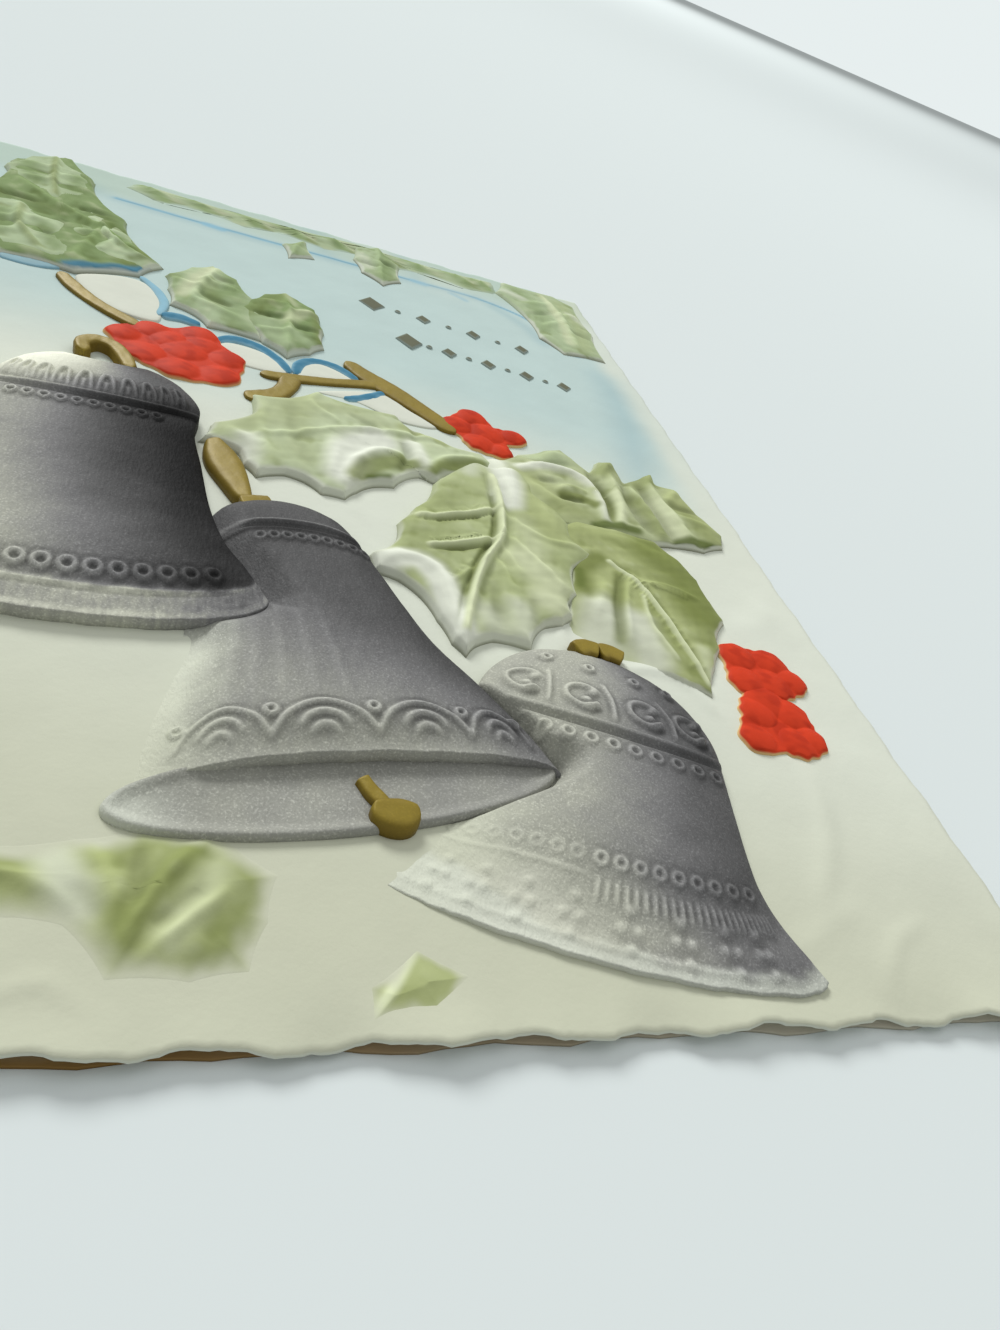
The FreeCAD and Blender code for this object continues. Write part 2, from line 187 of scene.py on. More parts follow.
def meshPiece(name, places, faces, colours, material):
    mesh = bpy.data.meshes.new(name)
    mesh.from_pydata((places * mm).tolist(), [], [])
    sizes = np.concatenate([np.full(len(block), block.shape[1]) for block in faces])
    mesh.loops.add(int(sizes.sum()))
    mesh.polygons.add(len(sizes))
    starts = np.concatenate([[0], np.cumsum(sizes)[:-1]])
    mesh.polygons.foreach_set("loop_start", starts.astype(np.int32))
    mesh.loops.foreach_set("vertex_index",
                           np.concatenate([block.ravel() for block in faces]).astype(np.int32))
    mesh.update(calc_edges=True)
    ink = mesh.attributes.new("ink", "FLOAT_COLOR", "POINT")
    ink.data.foreach_set("color", np.column_stack([colours,
                                                   np.ones(len(colours))]).astype(np.float32).ravel())
    mesh.polygons.foreach_set("use_smooth", np.ones(len(sizes), bool))
    mesh.validate()
    piece = bpy.data.objects.new(name, mesh)
    bpy.context.collection.objects.link(piece)
    piece.data.materials.append(material)
    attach(piece, "root")
    return piece


def closeUnder(places, colours, border, foot):  # walls from a border loop down to a flat foot
    count = len(places)
    ring = places[border].copy()
    ring[:, 2] = foot
    middle = ring.mean(0, keepdims=True)
    ids = np.arange(len(border))
    after = np.roll(ids, -1)
    walls = np.column_stack([border, count + ids, count + after, border[after]])
    floor = np.column_stack([count + after, count + ids, np.full(len(border), count + len(border))])
    tint = np.vstack([colours, colours[border], colours[border].mean(0, keepdims=True)])
    return np.vstack([places, ring, middle]), tint, [walls, floor]


def gridFaces(rows, columns):  # the quads of a grid of points, and the loop round its border
    ids = np.arange(rows * columns).reshape(rows, columns)
    quads = np.stack([ids[:-1, :-1], ids[:-1, 1:], ids[1:, 1:], ids[1:, :-1]], -1).reshape(-1, 4)
    border = np.concatenate([ids[0, :-1], ids[:-1, -1], ids[-1, :0:-1], ids[:0:-1, 0]])
    return quads, border


def gridPiece(name, x, y, z, colour, material, foot):
    quads, border = gridFaces(*x.shape)
    places, tint, under = closeUnder(np.stack([x, y, z], -1).reshape(-1, 3), colour.reshape(-1, 3), border,
                                     foot)
    return meshPiece(name, places, [quads] + under, tint, material)


# Patch: rings round a middle point grow to an outline. The surface gives height and colour for a place and
# its distance from the outline.
def patchPiece(name, outline, middle, ringCount, surface, material, foot=face - sunk, power=0.8):
    spokes = len(outline)
    share = np.linspace(0, 1, ringCount + 1)[1:, None, None] ** power
    spread = np.asarray(middle, float) + (outline[None] - np.asarray(middle, float)) * share
    x = np.concatenate([[middle[0]], spread[..., 0].ravel()])
    y = np.concatenate([[middle[1]], spread[..., 1].ravel()])
    edge, _, _ = toLine(x, y, np.vstack([outline, outline[:1]]))
    edge[-spokes:] = 0
    z, colour = surface(x, y, edge)
    ids = 1 + np.arange(ringCount * spokes).reshape(ringCount, spokes)
    after = np.roll(ids, -1, 1)
    fan = np.column_stack([np.zeros(spokes, int), ids[0], after[0]])
    quads = np.stack([ids[:-1], ids[1:], after[1:], after[:-1]], -1).reshape(-1, 4)
    places, tint, under = closeUnder(np.column_stack([x, y, z]), colour, ids[-1], foot)
    return meshPiece(name, places, [fan, quads] + under, tint, material)


def shoulder(edge, width):  # quarter round from the outline up to full height
    return np.sqrt(np.clip(1 - (1 - np.clip(edge / width, 0, 1)) ** 2, 0, 1))


# Finishes

def addNode(nodes, kind, inputs=()):
    node = nodes.new(kind)
    for name, value in dict(inputs).items():
        node.inputs[name].default_value = value
    return node


def scaledColour(nodes, links, colour, factor):
    scaled = addNode(nodes, "ShaderNodeVectorMath")
    scaled.operation = "SCALE"
    links.new(colour, scaled.inputs[0])
    links.new(factor, scaled.inputs["Scale"])
    return scaled.outputs["Vector"]


# Grain is the slow unevenness of the print, powder glint the metal powder in it with painted glints as bright
# specks, and bump the depth of the paper's tooth in millimetres. A streak below 1 draws the tooth out along
# the card's height.
def inkFinish(name, roughness, gloss, grain, bump, metal=0.0, powderGlint=0.0, bumpScale=1500, streak=1.0):
    material = bpy.data.materials.new(name)
    material.use_nodes = True
    nodes, links = material.node_tree.nodes, material.node_tree.links
    shader = nodes["Principled BSDF"]
    shader.inputs["Roughness"].default_value = roughness
    shader.inputs["Metallic"].default_value = metal
    shader.inputs["Specular IOR Level"].default_value = gloss
    place = addNode(nodes, "ShaderNodeTexCoord")
    ink = addNode(nodes, "ShaderNodeAttribute")
    ink.attribute_name = "ink"
    mottle = addNode(nodes, "ShaderNodeTexNoise", {"Scale": 160, "Detail": 6})
    links.new(place.outputs["Object"], mottle.inputs["Vector"])
    span = addNode(nodes, "ShaderNodeMapRange",
                   {"From Min": 0.3, "From Max": 0.7, "To Min": 1 - grain, "To Max": 1 + grain})
    links.new(mottle.outputs["Fac"], span.inputs["Value"])
    colour = scaledColour(nodes, links, ink.outputs["Color"], span.outputs["Result"])
    # painted glints: the powder's specks are made brighter in the colour itself
    if powderGlint:
        grit = addNode(nodes, "ShaderNodeTexNoise", {"Scale": 5600, "Detail": 3})
        links.new(place.outputs["Object"], grit.inputs["Vector"])
        bright = addNode(nodes, "ShaderNodeMapRange", {"From Min": 0.52, "From Max": 0.78})
        links.new(grit.outputs["Fac"], bright.inputs["Value"])
        inked = addNode(nodes, "ShaderNodeRGBToBW")  # bare paper is paler than any ink, and has no powder
        links.new(ink.outputs["Color"], inked.inputs["Color"])
        for end, amount in (("To Min", -0.35 * powderGlint), ("To Max", 1.6 * powderGlint)):
            share = addNode(nodes, "ShaderNodeMapRange",
                            {"From Min": 0.42, "From Max": 0.60, "To Min": 1 + amount, "To Max": 1})
            links.new(inked.outputs["Val"], share.inputs["Value"])
            links.new(share.outputs["Result"], bright.inputs[end])
        colour = scaledColour(nodes, links, colour, bright.outputs["Result"])
    links.new(colour, shader.inputs["Base Color"])
    fibre = addNode(nodes, "ShaderNodeTexNoise", {"Scale": bumpScale, "Detail": 5, "Roughness": 0.6})
    stretch = addNode(nodes, "ShaderNodeMapping", {"Scale": (1, streak, 1)})
    links.new(place.outputs["Object"], stretch.inputs["Vector"])
    links.new(stretch.outputs["Vector"], fibre.inputs["Vector"])
    tooth = addNode(nodes, "ShaderNodeBump", {"Strength": 0.6, "Distance": bump * mm})
    links.new(fibre.outputs["Fac"], tooth.inputs["Height"])
    links.new(tooth.outputs["Normal"], shader.inputs["Normal"])
    return material


finishes = {"paper": inkFinish("creamPaper", 0.85, gloss=0.04, grain=0.02, bump=0.05),
            "silver": inkFinish("silverInk", 0.6, gloss=0.05, powderGlint=0.28, grain=0.06, bump=0.20,
                                bumpScale=4200, streak=0.45),
            "gold": inkFinish("goldInk", 0.5, gloss=0.2, metal=0.08, powderGlint=0.10, grain=0.10, bump=0.05),
            "green": inkFinish("greenInk", 0.75, gloss=0.03, grain=0.04, bump=0.04),
            "red": inkFinish("redInk", 0.6, gloss=0.06, grain=0.03, bump=0.04),
            "blue": inkFinish("blueInk", 0.75, gloss=0.03, grain=0.05, bump=0.04)}
print("finishes ready")


# Sheets: grids whose borders follow the torn waves

def tornInset(travel, phase):  # how far the torn edge runs inside the straight one
    turn = 2 * math.pi * travel / card["deckleWave"] + phase
    coarse = card["deckleDepth"] * (0.5 + 0.32 * np.sin(turn) + 0.10 * np.sin(2.7 * turn + 1.0))
    return coarse + card["fibre"] * (0.5 * np.sin(5.3 * turn + 2) + 0.5 * np.sin(11.1 * turn + 0.6))


def sheetGrid(phase, step):  # border insets fade towards the middle of the sheet
    halfX, halfY = card["width"] / 2, card["height"] / 2
    u, v = np.meshgrid(np.linspace(-halfX, halfX, round(2 * halfX / step) + 1),
                       np.linspace(-halfY, halfY, round(2 * halfY / step) + 1))
    front = tornInset(u + halfX, phase)
    right = 0.5 * tornInset(v + halfY, phase + 1.9)
    back = tornInset(halfX - u, phase + 3.8)
    left = tornInset(halfY - v, phase + 5.7)
    reach = card["deckleReach"]
    x = u + left * np.exp(-(u + halfX) / reach) - right * np.exp(-(halfX - u) / reach)
    y = v + front * np.exp(-(v + halfY) / reach) - back * np.exp(-(halfY - v) / reach)
    return x, y


def nearLift(x, y):  # the front sheet's near edge opens and closes against the back sheet
    depth = y + card["height"] / 2
    opening = 0.12 + 0.24 * np.sin(x / 3.4 + 0.8) + 0.14 * np.sin(x / 1.7 + 2.1) + 0.05 * np.sin(x / 0.8)
    return opening * np.exp(-(depth / card["liftReach"]) ** 2)


skyLine = [(-26, 58.6), (-12, 57.8), (4, 58), (20, 58), (29, 57.8), (36, 55), (40, 50), (43, 43)]


def sheetTint(x, y):  # cream, turning to sky in the upper half and darkened by painted shade near the front
    skyShare = smooth(-6, 24, y + 0.10 * x + 3 * waves(x, y, 38, 3))
    skyShare = skyShare * (1 - 0.75 * smooth(44.5, 49, x + 0.6 * waves(x, y, 12, 5)))
    colour = inks["cream"] + (inks["sky"] - inks["cream"]) * skyShare[..., None]
    topBand = smooth(56.5, 62, y + waves(x, y, 16, 8))
    colour = fade(colour, "greenCoolPale", 0.30 * topBand)
    # painted shade: the sheet darkens towards the front left
    colour = fade(colour, "creamShaded", smooth(-24, -66, y + 0.25 * x))
    return paint(x, y, colour, [
        ([(-26, 58), (-12, 57.2), (4, 57.4), (20, 57.6), (29, 57.8)], 2.4, 2.4, "skyDeep", 0.35),
        (skyLine, 0.9, 0.7, "bluePale", 0.9),
        (skyLine, 0.4, 0.4, "blue", 0.5),
        ([(-13.6, 57.8), (-11.6, 57.4)], 1.7, 0.7, "bluePale", 0.9),
        ([(18.4, 58), (20, 57.7)], 1.6, 0.7, "bluePale", 0.8),
        ([(24.6, 56.8), (26.6, 55.4)], 1.2, 1.0, "bluePale", 0.6),
        ([(31.5, 56), (36, 50), (37.5, 45)], 2.2, 3.0, "skyDeep", 0.4),
        ([(-36, 63), (-30, 60)], 5, 5, "skyDeep", 0.3),
        ([(13, 70), (24, 60)], 9, 9, "cream", 0.25),
        ([(40, 3), (44, 20), (46, 36)], 5, 7, "skyDeep", 0.45),
        ([(18, 70), (19, 60)], 3, 5, "skyDeep", 0.35),
        ([(2.6, 70), (4, 60)], 3, 5, "skyDeep", 0.35)])


def sheetRelief(x, y):  # soft swellings of the sheet, and the curls pressed into it without ink
    height = 0.13 * waves(x, y, 44, 11) + 0.05 * waves(x, y, 11, 12)
    return press(x, y, height, [
        ([(38.8, -46), (36.6, -53), (32, -60)], 2.2, 0.22),
        ([(41, -61.4), (37, -63.6), (33.4, -68)], 1.6, 0.16),
        ([(47.5, -20), (44, -24), (40, -26)], 3.0, 0.12),
        ([(35, -60), (28, -64)], 2.0, 0.12),
        ([(-24.4, -66.6), (-21.4, -65.6), (-19.6, -66.8), (-17.6, -68.8)], 1.2, 0.18),
        ([(23, -34.6), (27.6, -34.2), (30.4, -36.2), (31.6, -39.2)], 1.3, 0.28),
        ([(19.4, -28.8), (18.4, -31), (18.8, -33)], 1.1, 0.20),
        ([(0.8, -15.6), (1.4, -18), (2, -20)], 1.0, -0.12)])


def buildFrontSheet():
    x, y = sheetGrid(0.4, card["step"])
    top = face + sheetRelief(x, y) * smooth(0, 6, y + card["height"] / 2) + nearLift(x, y)
    tint = sheetTint(x, y).reshape(-1, 3)
    quads, border = gridFaces(*x.shape)
    places = np.stack([x, y, top], -1).reshape(-1, 3)
    middle = places[border].copy()  # the torn edge stands out a little at half the sheet's thickness
    middle[:, 2] -= 0.5 * card["frontSheet"]
    nearEdge = np.array([card["width"], card["height"]]) / 2 - card["edgeBand"]
    middle[:, :2] += card["edgeOut"] * np.sign(middle[:, :2]) * (np.abs(middle[:, :2]) > nearEdge)
    base = places[border].copy()
    base[:, 2] -= card["frontSheet"] * (0.95 + 0.1 * np.sin(base[:, 0] * 1.7))
    inner = base * [card["turnIn"], card["turnIn"], 0] + [0, 0, frontFoot]  # here the flat underside begins
    count, rim = len(places), len(border)
    first, after = np.arange(rim), np.roll(np.arange(rim), -1)
    upper = np.column_stack([border, count + first, count + after, border[after]])
    lower = np.column_stack([first, rim + first, rim + after, after]) + count
    turnUnder = lower + rim
    floor = np.column_stack([after, first, np.full(rim, rim)]) + count + 2 * rim
    edgeTint = np.broadcast_to(inks["cream"] * 0.96, (3 * rim + 1, 3))
    front = meshPiece("frontSheet", np.vstack([places, middle, base, inner, [[0, 0, frontFoot]]]),
                      [quads, upper, lower, turnUnder, floor], np.vstack([tint, edgeTint]),
                      finishes["paper"])
    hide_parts("card")


def buildBackSheet():
    x, y = sheetGrid(2.0, card["backStep"])
    y = np.maximum(y, 0.35 - card["height"] / 2 + 0.2 * np.sin(x / 2.1))
    stain = smooth(-66.5, -68.6, y + 0.4 * np.sin(x / 1.9)) * (0.45 + 0.55 * smooth(30, -20, x))
    tint = fade(np.broadcast_to(inks["cream"] * 0.93, x.shape + (3,)), "paste", stain)
    gridPiece("backSheet", x, y, np.full_like(x, backTop), tint, finishes["paper"], 0.0)


# How far the paste stops short of the edges, and how far it reaches into both sheets
pasteLook = {"sides": 1.8, "near": 2.6, "overlap": 0.1}


def buildPaste():
    halfX, halfY = card["width"] / 2 - pasteLook["sides"], card["height"] / 2
    u = np.linspace(-halfX, halfX, 90)
    inset = pasteLook["near"] + 0.9 * np.sin(u / 3.1) + 0.6 * np.sin(u / 1.3 + 1)
    back = halfY - pasteLook["sides"]
    outline = np.vstack([np.column_stack([u, inset - halfY]), [[halfX, back], [-halfX, back]]])

    def surface(x, y, edge):
        return np.full_like(x, frontFoot + pasteLook["overlap"]), np.broadcast_to(inks["paste"], (len(x), 3))
    patchPiece("paste", outline, (0, 0), 2, surface, finishes["paper"],
               foot=backTop - pasteLook["overlap"])


buildFrontSheet()
buildBackSheet()
buildPaste()
print("sheets built")


# Bells: a point lies at an angle round the axis (0 in front) and a depth below the crown. In the bell's own
# plan x = radius * sin(angle) and y = -depth - bow * radius * cos(angle). Then the bell leans and moves to
# its place. Stations are pairs of depth and radius, and bands are middle, width and height.
leftBell = {"place": (-23.4, 4.6), "lean": 0.0, "bow": (0.12, 0.30), "shoulder": 9.2, "rise": 2.4,
            "edge": 1.2, "lipDepth": 37.1, "lipEdge": 0.55, "lipFall": 7.0, "lipRise": 1.05, "columns": 290,
            "rows": 225, "bands": [(9.3, 0.6, 0.36), (34.7, 0.4, 0.14)], "leftEdge": 0.8, "rightEdge": 0.95,
            "stations": [(0, 1.6), (0.6, 3.4), (1.7, 5.5), (3.8, 7.5), (7.6, 9.2), (12.6, 8.8), (17.6, 9.4),
                         (24.6, 10.2), (29.6, 11.4), (33.0, 13.1), (37.1, 14.8)]}
middleBell = {"place": (-7.6, -17.8), "lean": 7.5, "bow": (-0.18, -0.135), "shoulder": 7.2, "rise": 2.4,
              "edge": 0.6, "lipDepth": 33.6, "lipEdge": 0.5, "lipFall": 3.4, "lipRise": 1.45, "columns": 300,
              "rows": 205, "bands": [(6.1, 0.6, 0.36)], "leftEdge": 0.04, "rightEdge": 0.6,
              "stations": [(0, 1.5), (0.8, 3.6), (2.2, 5.3), (4.2, 6.5), (10.3, 8.0), (14.5, 8.9),
                           (19.7, 10.3), (24.4, 12.6), (29.0, 14.6), (33.6, 16.2)]}
rightBell = {"place": (21.0, -33.9), "lean": -17.0, "bow": (0.08, 0.20), "shoulder": 10.5, "rise": 2.4,
             "edge": 0.6, "lipDepth": 29.2, "lipEdge": 0.1, "lipFall": 8.5, "lipRise": 0.4, "columns": 310,
             "rows": 195, "bands": [(10.3, 0.7, 0.4)], "leftEdge": 0.04, "rightEdge": 0.5,
             "stations": [(0, 1.5), (0.9, 3.8), (2.2, 6.3), (4.6, 8.7), (8.2, 10.5), (13.0, 11.1),
                          (20.5, 11.9), (23.3, 12.6), (25.6, 13.8), (27.7, 15.4), (29.2, 16.7)]}


def bellRadius(bell, depth):
    line = curve(bell["stations"], 12)
    return np.interp(depth, line[:, 0], line[:, 1])


def bellBow(bell, depth):
    crownBow, lipBow = bell["bow"]
    return crownBow + (lipBow - crownBow) * np.asarray(depth) / bell["lipDepth"]


def onBell(bell, angle, depth):  # place on the card of a point given by angle in degrees and depth
    turn, lean = np.radians(angle), math.radians(bell["lean"])
    radius = bellRadius(bell, depth)
    x = radius * np.sin(turn)
    y = -np.asarray(depth) - bellBow(bell, depth) * radius * np.cos(turn)
    return (bell["place"][0] + x * math.cos(lean) - y * math.sin(lean),
            bell["place"][1] + x * math.sin(lean) + y * math.cos(lean))


def bellGap(bell, x, y):  # distance outside a bell's outline, below zero inside it
    lean = math.radians(bell["lean"])
    across, up = x - bell["place"][0], y - bell["place"][1]
    side = across * math.cos(lean) + up * math.sin(lean)
    depth = across * math.sin(lean) - up * math.cos(lean)
    radius = bellRadius(bell, depth)
    lip = bell["lipDepth"]
    sag = bellBow(bell, lip) * np.sqrt(np.clip(bellRadius(bell, lip) ** 2 - side ** 2, 0, None))
    return np.maximum(np.maximum(abs(side) - radius, depth - lip - sag), -depth)


def lowerLeft(angle, depth):  # 1 in the lower left part of a bell
    return smooth(0.0, 0.5, -angle / 90) * smooth(11, 20, depth)


def sunkShare(bell, angle, depth):  # how far the lower left of a bell is one with the sheet
    lower = lowerLeft(angle, depth) * (bell["leftEdge"] < 0.5)
    return lower * (1 - smooth(-0.98, -0.55, np.sin(np.radians(angle))))


def bellHeight(bell, angle, depth):  # swelling over the sheet: a low step at the outline and a rounded middle
    radius = bellRadius(bell, depth)
    rise = bell["rise"] * np.minimum(1, radius / bell["shoulder"]) ** 0.7
    fall = smooth(bell["lipDepth"] - bell["lipFall"], bell["lipDepth"], depth)
    rise = rise + (bell["lipRise"] - rise) * fall
    for middle, width, lift in bell["bands"]:  # a raised band with a groove below it
        rise = rise + lift * np.exp(-((depth - middle) / (0.5 * width)) ** 4)
        rise = rise - 0.7 * lift * np.exp(-((depth - middle - 0.85 * width) / (0.25 * width)) ** 2)
    edge = np.minimum(bell["edge"], 0.9 * rise) + 0 * depth
    edge = edge + (np.minimum(bell["lipEdge"], rise) - edge) * fall
    lower = lowerLeft(angle, depth)
    edge = edge + (np.minimum(bell["leftEdge"], edge) - edge) * lower
    right = smooth(0.1, 0.6, angle / 90) * smooth(8, 16, depth)
    edge = edge + (np.minimum(bell["rightEdge"], 0.95 * rise) - edge) * right
    sinks = lower * (bell["leftEdge"] < 0.5)
    height = edge + (rise - edge) * np.cos(np.radians(angle)) ** (0.85 + 0.9 * sinks)
    return height * (1 - sunkShare(bell, angle, depth))


def ridge(bell, angles, depths, width, rise):  # a relief stroke that follows the bell
    x, y = onBell(bell, np.asarray(angles, float), np.asarray(depths, float))
    return np.column_stack([x, y]), width, rise


def beadRow(bell, depth, first, last, count, radius=0.48, width=0.34, rise=0.2):  # little rings, even across
    sides = np.linspace(math.sin(math.radians(first)), math.sin(math.radians(last)), count)
    x, y = onBell(bell, np.degrees(np.arcsin(sides)), depth)
    return [(beadX, beadY, radius, width, rise) for beadX, beadY in zip(x, y)]


# Least height over the sheet, width of the blend under a limit, dip of a sunk edge, deeper foot, painted
# highlight and shade along the relief
bellLook = {"least": 0.03, "blend": 0.18, "dip": 0.10, "deeper": 0.2, "ridgeShading": 0.5}


def buildBell(name, bell, tone, strokes, beads, limit=None):
    angle, depth = np.meshgrid(np.linspace(-90, 90, bell["columns"]),
                               np.linspace(bell["lipDepth"], 0.0, bell["rows"]))
    rough = 0.10 * waves(angle / 4, depth, 3.0, 21) * smooth(bell["lipDepth"] - 2.0, bell["lipDepth"], depth)
    x, y = onBell(bell, angle, depth + rough)
    height = bellHeight(bell, angle, depth)
    body = rings(x, y, press(x, y, height, strokes), beads)
    detail = (body - height) * np.clip(np.cos(np.radians(angle)) * 6, 0, 1)
    height = height + detail
    height += 0.025 * waves(x, y, 7.0, 31) + 0.012 * waves(x, y, 1.1, 32, 2)
    if limit is not None:
        blend = bellLook["blend"]
        height = -blend * np.log(np.exp(-height / blend) + np.exp(-limit(x, y) / blend))
    around = sum(np.roll(detail, (up, across), (0, 1)) for up in (-3, 0, 3) for across in (-3, 0, 3)) / 9
    ridgeShading = np.clip((detail - around) / 0.1, -1, 1)  # painted highlight on each ridge, and painted shade in the hollow beside it
    colour = tone(np.sin(np.radians(angle)), depth, x, y)
    # painted highlight and shade from the ridges, on the darker inks only
    colour = colour * (1 + bellLook["ridgeShading"] * ridgeShading * (1 - smooth(0.3, 0.6, colour[..., 1])))[..., None]
    sunkIn = sunkShare(bell, angle, depth)
    top = face + np.maximum(height, bellLook["least"])
    top += sunkIn * (sheetRelief(x, y) - bellLook["dip"] * smooth(0.8, 0.98, sunkIn))
    gridPiece(name, x, y, top, colour, finishes["silver"], face - sunk - bellLook["deeper"])


def grey(tone):  # a printed grey, 0 to 255, a little warm where it is pale
    tone = np.asarray(tone, float)
    warm = 0.03 * smooth(110, 190, tone)
    return np.stack([toLight(tone), toLight(tone * (1 + 0.3 * warm)), toLight(tone * (1 - 2.4 * warm))], -1)


def band(value, middle, width):  # 1 at the middle value, fading on both sides of it
    return np.exp(-((value - middle) / width) ** 2)


# Tones of the bells, 0 to 255. The side runs from -1 at the left outline to 1 at the right one.
def leftTone(side, depth, x, y):
    tone = 166 - 124 * smooth(-1.05, 0.75, side)
    tone += (82 - 36 * smooth(-0.3, 0.8, side)) * (1 - smooth(4, 10, depth))
    tone -= 22 * smooth(0.45, 0.9, side) * smooth(10, 14, depth)
    tone += 44 * smooth(16, 34, depth) * (1 - 0.3 * smooth(0.3, 0.9, side))
    skirt = 172 - 62 * smooth(0.2, 1.0, side)
    skirt = skirt + 16 * waves(3 * x, y, 2.6, 53) + 8 * waves(x, y, 1.2, 54, 2)
    tone += (skirt - tone) * smooth(34.2, 35.0, depth + 0.4 * waves(x, y, 3, 41))
    # painted highlight along the crown of the band under the dome
    tone += 34 * band(depth + 0.12 * waves(x, y, 1.4, 55), 9.0, 0.25) * (1 - 0.5 * smooth(0.2, 0.9, side))
    tone += 22 * band(depth + 0.15 * waves(x, y, 1.6, 56), 36.7, 0.3)
    tone += 8 * waves(x, y, 5.0, 42) + 6 * waves(5 * x, 0.5 * y, 2.0, 43)
    # painted shadow in the groove under that band; the line after paints a highlight along the band just
    # above the lip
    tone -= 46 * band(depth, 10.1, 0.28) * smooth(-1, 0.4, side)
    tone += 34 * band(depth + 0.15 * waves(x, y, 1.4, 40), 34.8, 0.2)
    return grey(tone)


def bareInk(tone, bare, x, y):  # grey ink that thins out to the printed sheet
    return grey(tone) + (sheetTint(x, y) - grey(tone)) * bare[..., None]


def middleTone(side, depth, x, y):
    tone = 90 + 66 * smooth(11, 33, depth - 10 * side) - 18 * smooth(0.5, 1.0, side)
    tone += 12 * smooth(29, 33, depth)
    # painted highlight along the band's crown, and painted shadow in the groove under it
    tone += 34 * band(depth + 0.15 * waves(x, y, 1.4, 40), 5.9, 0.3)
    tone -= 36 * band(depth, 7.15, 0.3)
    tone += 6 * waves(x, y, 6.0, 44) + 5 * waves(5 * x, 0.5 * y, 2.0, 45)
    bare = smooth(0.45, 0.9, -side + 0.06 * waves(x, y, 4, 50)) * smooth(14, 23, depth)
    return bareInk(tone, bare, x, y)


def rightTone(side, depth, x, y):
    tone = 172 - 82 * smooth(-0.45, 0.95, side)
    tone += 34 * smooth(22, 27.5, depth) * (1 - 0.3 * smooth(0.3, 1, side))
    tone += 8 * waves(x, y, 6.0, 46) + 4 * waves(5 * x, 0.5 * y, 2.0, 47)
    bare = smooth(0.35, 0.9, -side + 0.1 * waves(x, y, 5, 48)) * smooth(14, 24, depth)
    rim = 28.7 + 0.5 * waves(x, y, 4, 49) - 2.2 * smooth(0.1, 0.9, -side)
    return fade(bareInk(tone, bare, x, y), "cream", 0.6 * smooth(rim - 1.0, rim + 0.3, depth))


def arches(bell, first, last, count, foot, top):  # pointed arches standing side by side above a band
    strokes = []
    pitch = (last - first) / count
    for angle in first + pitch * (np.arange(count) + 0.5):
        turns = np.linspace(-1, 1, 9)
        strokes.append(ridge(bell, angle + 0.36 * pitch * np.sign(turns) * abs(turns) ** 0.5,
                             top + (foot - top) * turns ** 2, 0.5, 0.4))
        strokes.append(ridge(bell, [angle, angle], [top + 1.3, foot - 0.3], 0.5, 0.24))
    return strokes


# Arcs of a scallop, from the outer to the inner: inset at both ends, low and high point, width, height
scallopArcs = [(0.0, 0.0, 1.0, 0.45, 0.3), (0.27, 0.22, 0.62, 0.5, 0.26), (0.37, 0.0, 0.22, 0.5, 0.2)]


def scallops(bell, first, last, count, foot, top):  # arcs side by side, each with smaller ones inside
    strokes = []
    pitch = (last - first) / count
    turns = np.linspace(0, 1, 9)
    for angle in first + pitch * np.arange(count):
        for inset, low, high, width, rise in scallopArcs:
            across = angle + pitch * (inset + (1 - 2 * inset) * turns)
            lift = low + (high - low) * np.sin(math.pi * turns) ** 0.7
            strokes.append(ridge(bell, across, foot + (top - foot) * lift, width, rise))
    return strokes


def scrolls(bell, angles, middle, size):  # a curl with dots round it, then a long drop to its right
    strokes, dots = [], []
    for angle in angles:
        turns = np.linspace(0.2, 1.75, 9) * math.pi
        reach = size / bellRadius(bell, middle)
        wide = np.degrees(np.arcsin(np.clip(np.sin(math.radians(angle)) + reach * np.cos(turns), -0.995,
                                            0.995)))
        strokes.append(ridge(bell, wide, middle - 0.8 * size * np.sin(turns), 0.55, 0.3))
        strokes.append(ridge(bell, [angle + 10, angle + 14, angle + 15], [middle - 2.0, middle, middle + 1.9],
                             0.5, 0.28))
        for across, down in ((1.5, 0.5), (4.5, -0.6), (6.0, 1.0), (3.0, 1.4)):
            dots.append((*onBell(bell, angle + across, middle + down), 0.12, 0.6, 0.3))
        dots.append((*onBell(bell, angle + 1, middle - 4.0), 0.4, 0.4, 0.3))
    return strokes, dots


def petals(bell, angles, depth):  # four round dots set as a cross
    return [(*onBell(bell, angle + across, depth + down), 0.1, 0.6, 0.14) for angle in angles
            for across, down in ((-2.4, 0), (2.4, 0), (0, -1.1), (0.4, 1.1))]


def ticks(bell, angles, top, foot):  # short upright bars
    return [ridge(bell, [angle, angle], [top, foot], 0.32, 0.16) for angle in angles]


def flutes(bell, angles, top, foot, width, rise):  # long soft folds running down to the lip
    depths = [top, (top + foot) / 2, foot]
    return [ridge(bell, [angle, 0.985 * angle, 0.97 * angle], depths, width, rise) for angle in angles]


mouth = {"center": (-3.4, -51.3), "half": (16.3, 3.9), "lean": 10.5, "slope": 0.185, "rim": 0.62,
         "floor": 0.30, "rays": 260, "rings": 60}


def mouthShare(x, y):  # 1 on the rim of the middle bell's open mouth
    lean = math.radians(mouth["lean"])
    across, up = x - mouth["center"][0], y - mouth["center"][1]
    return np.hypot((across * math.cos(lean) + up * math.sin(lean)) / mouth["half"][0],
                    (up * math.cos(lean) - across * math.sin(lean)) / mouth["half"][1])


def risingFrom(gap):  # height left free beside an edge that lies over a form
    return 0.8 + 0.7 * np.clip(gap, 0, None)


def underLeftBell(x, y):
    return risingFrom(bellGap(leftBell, x, y))


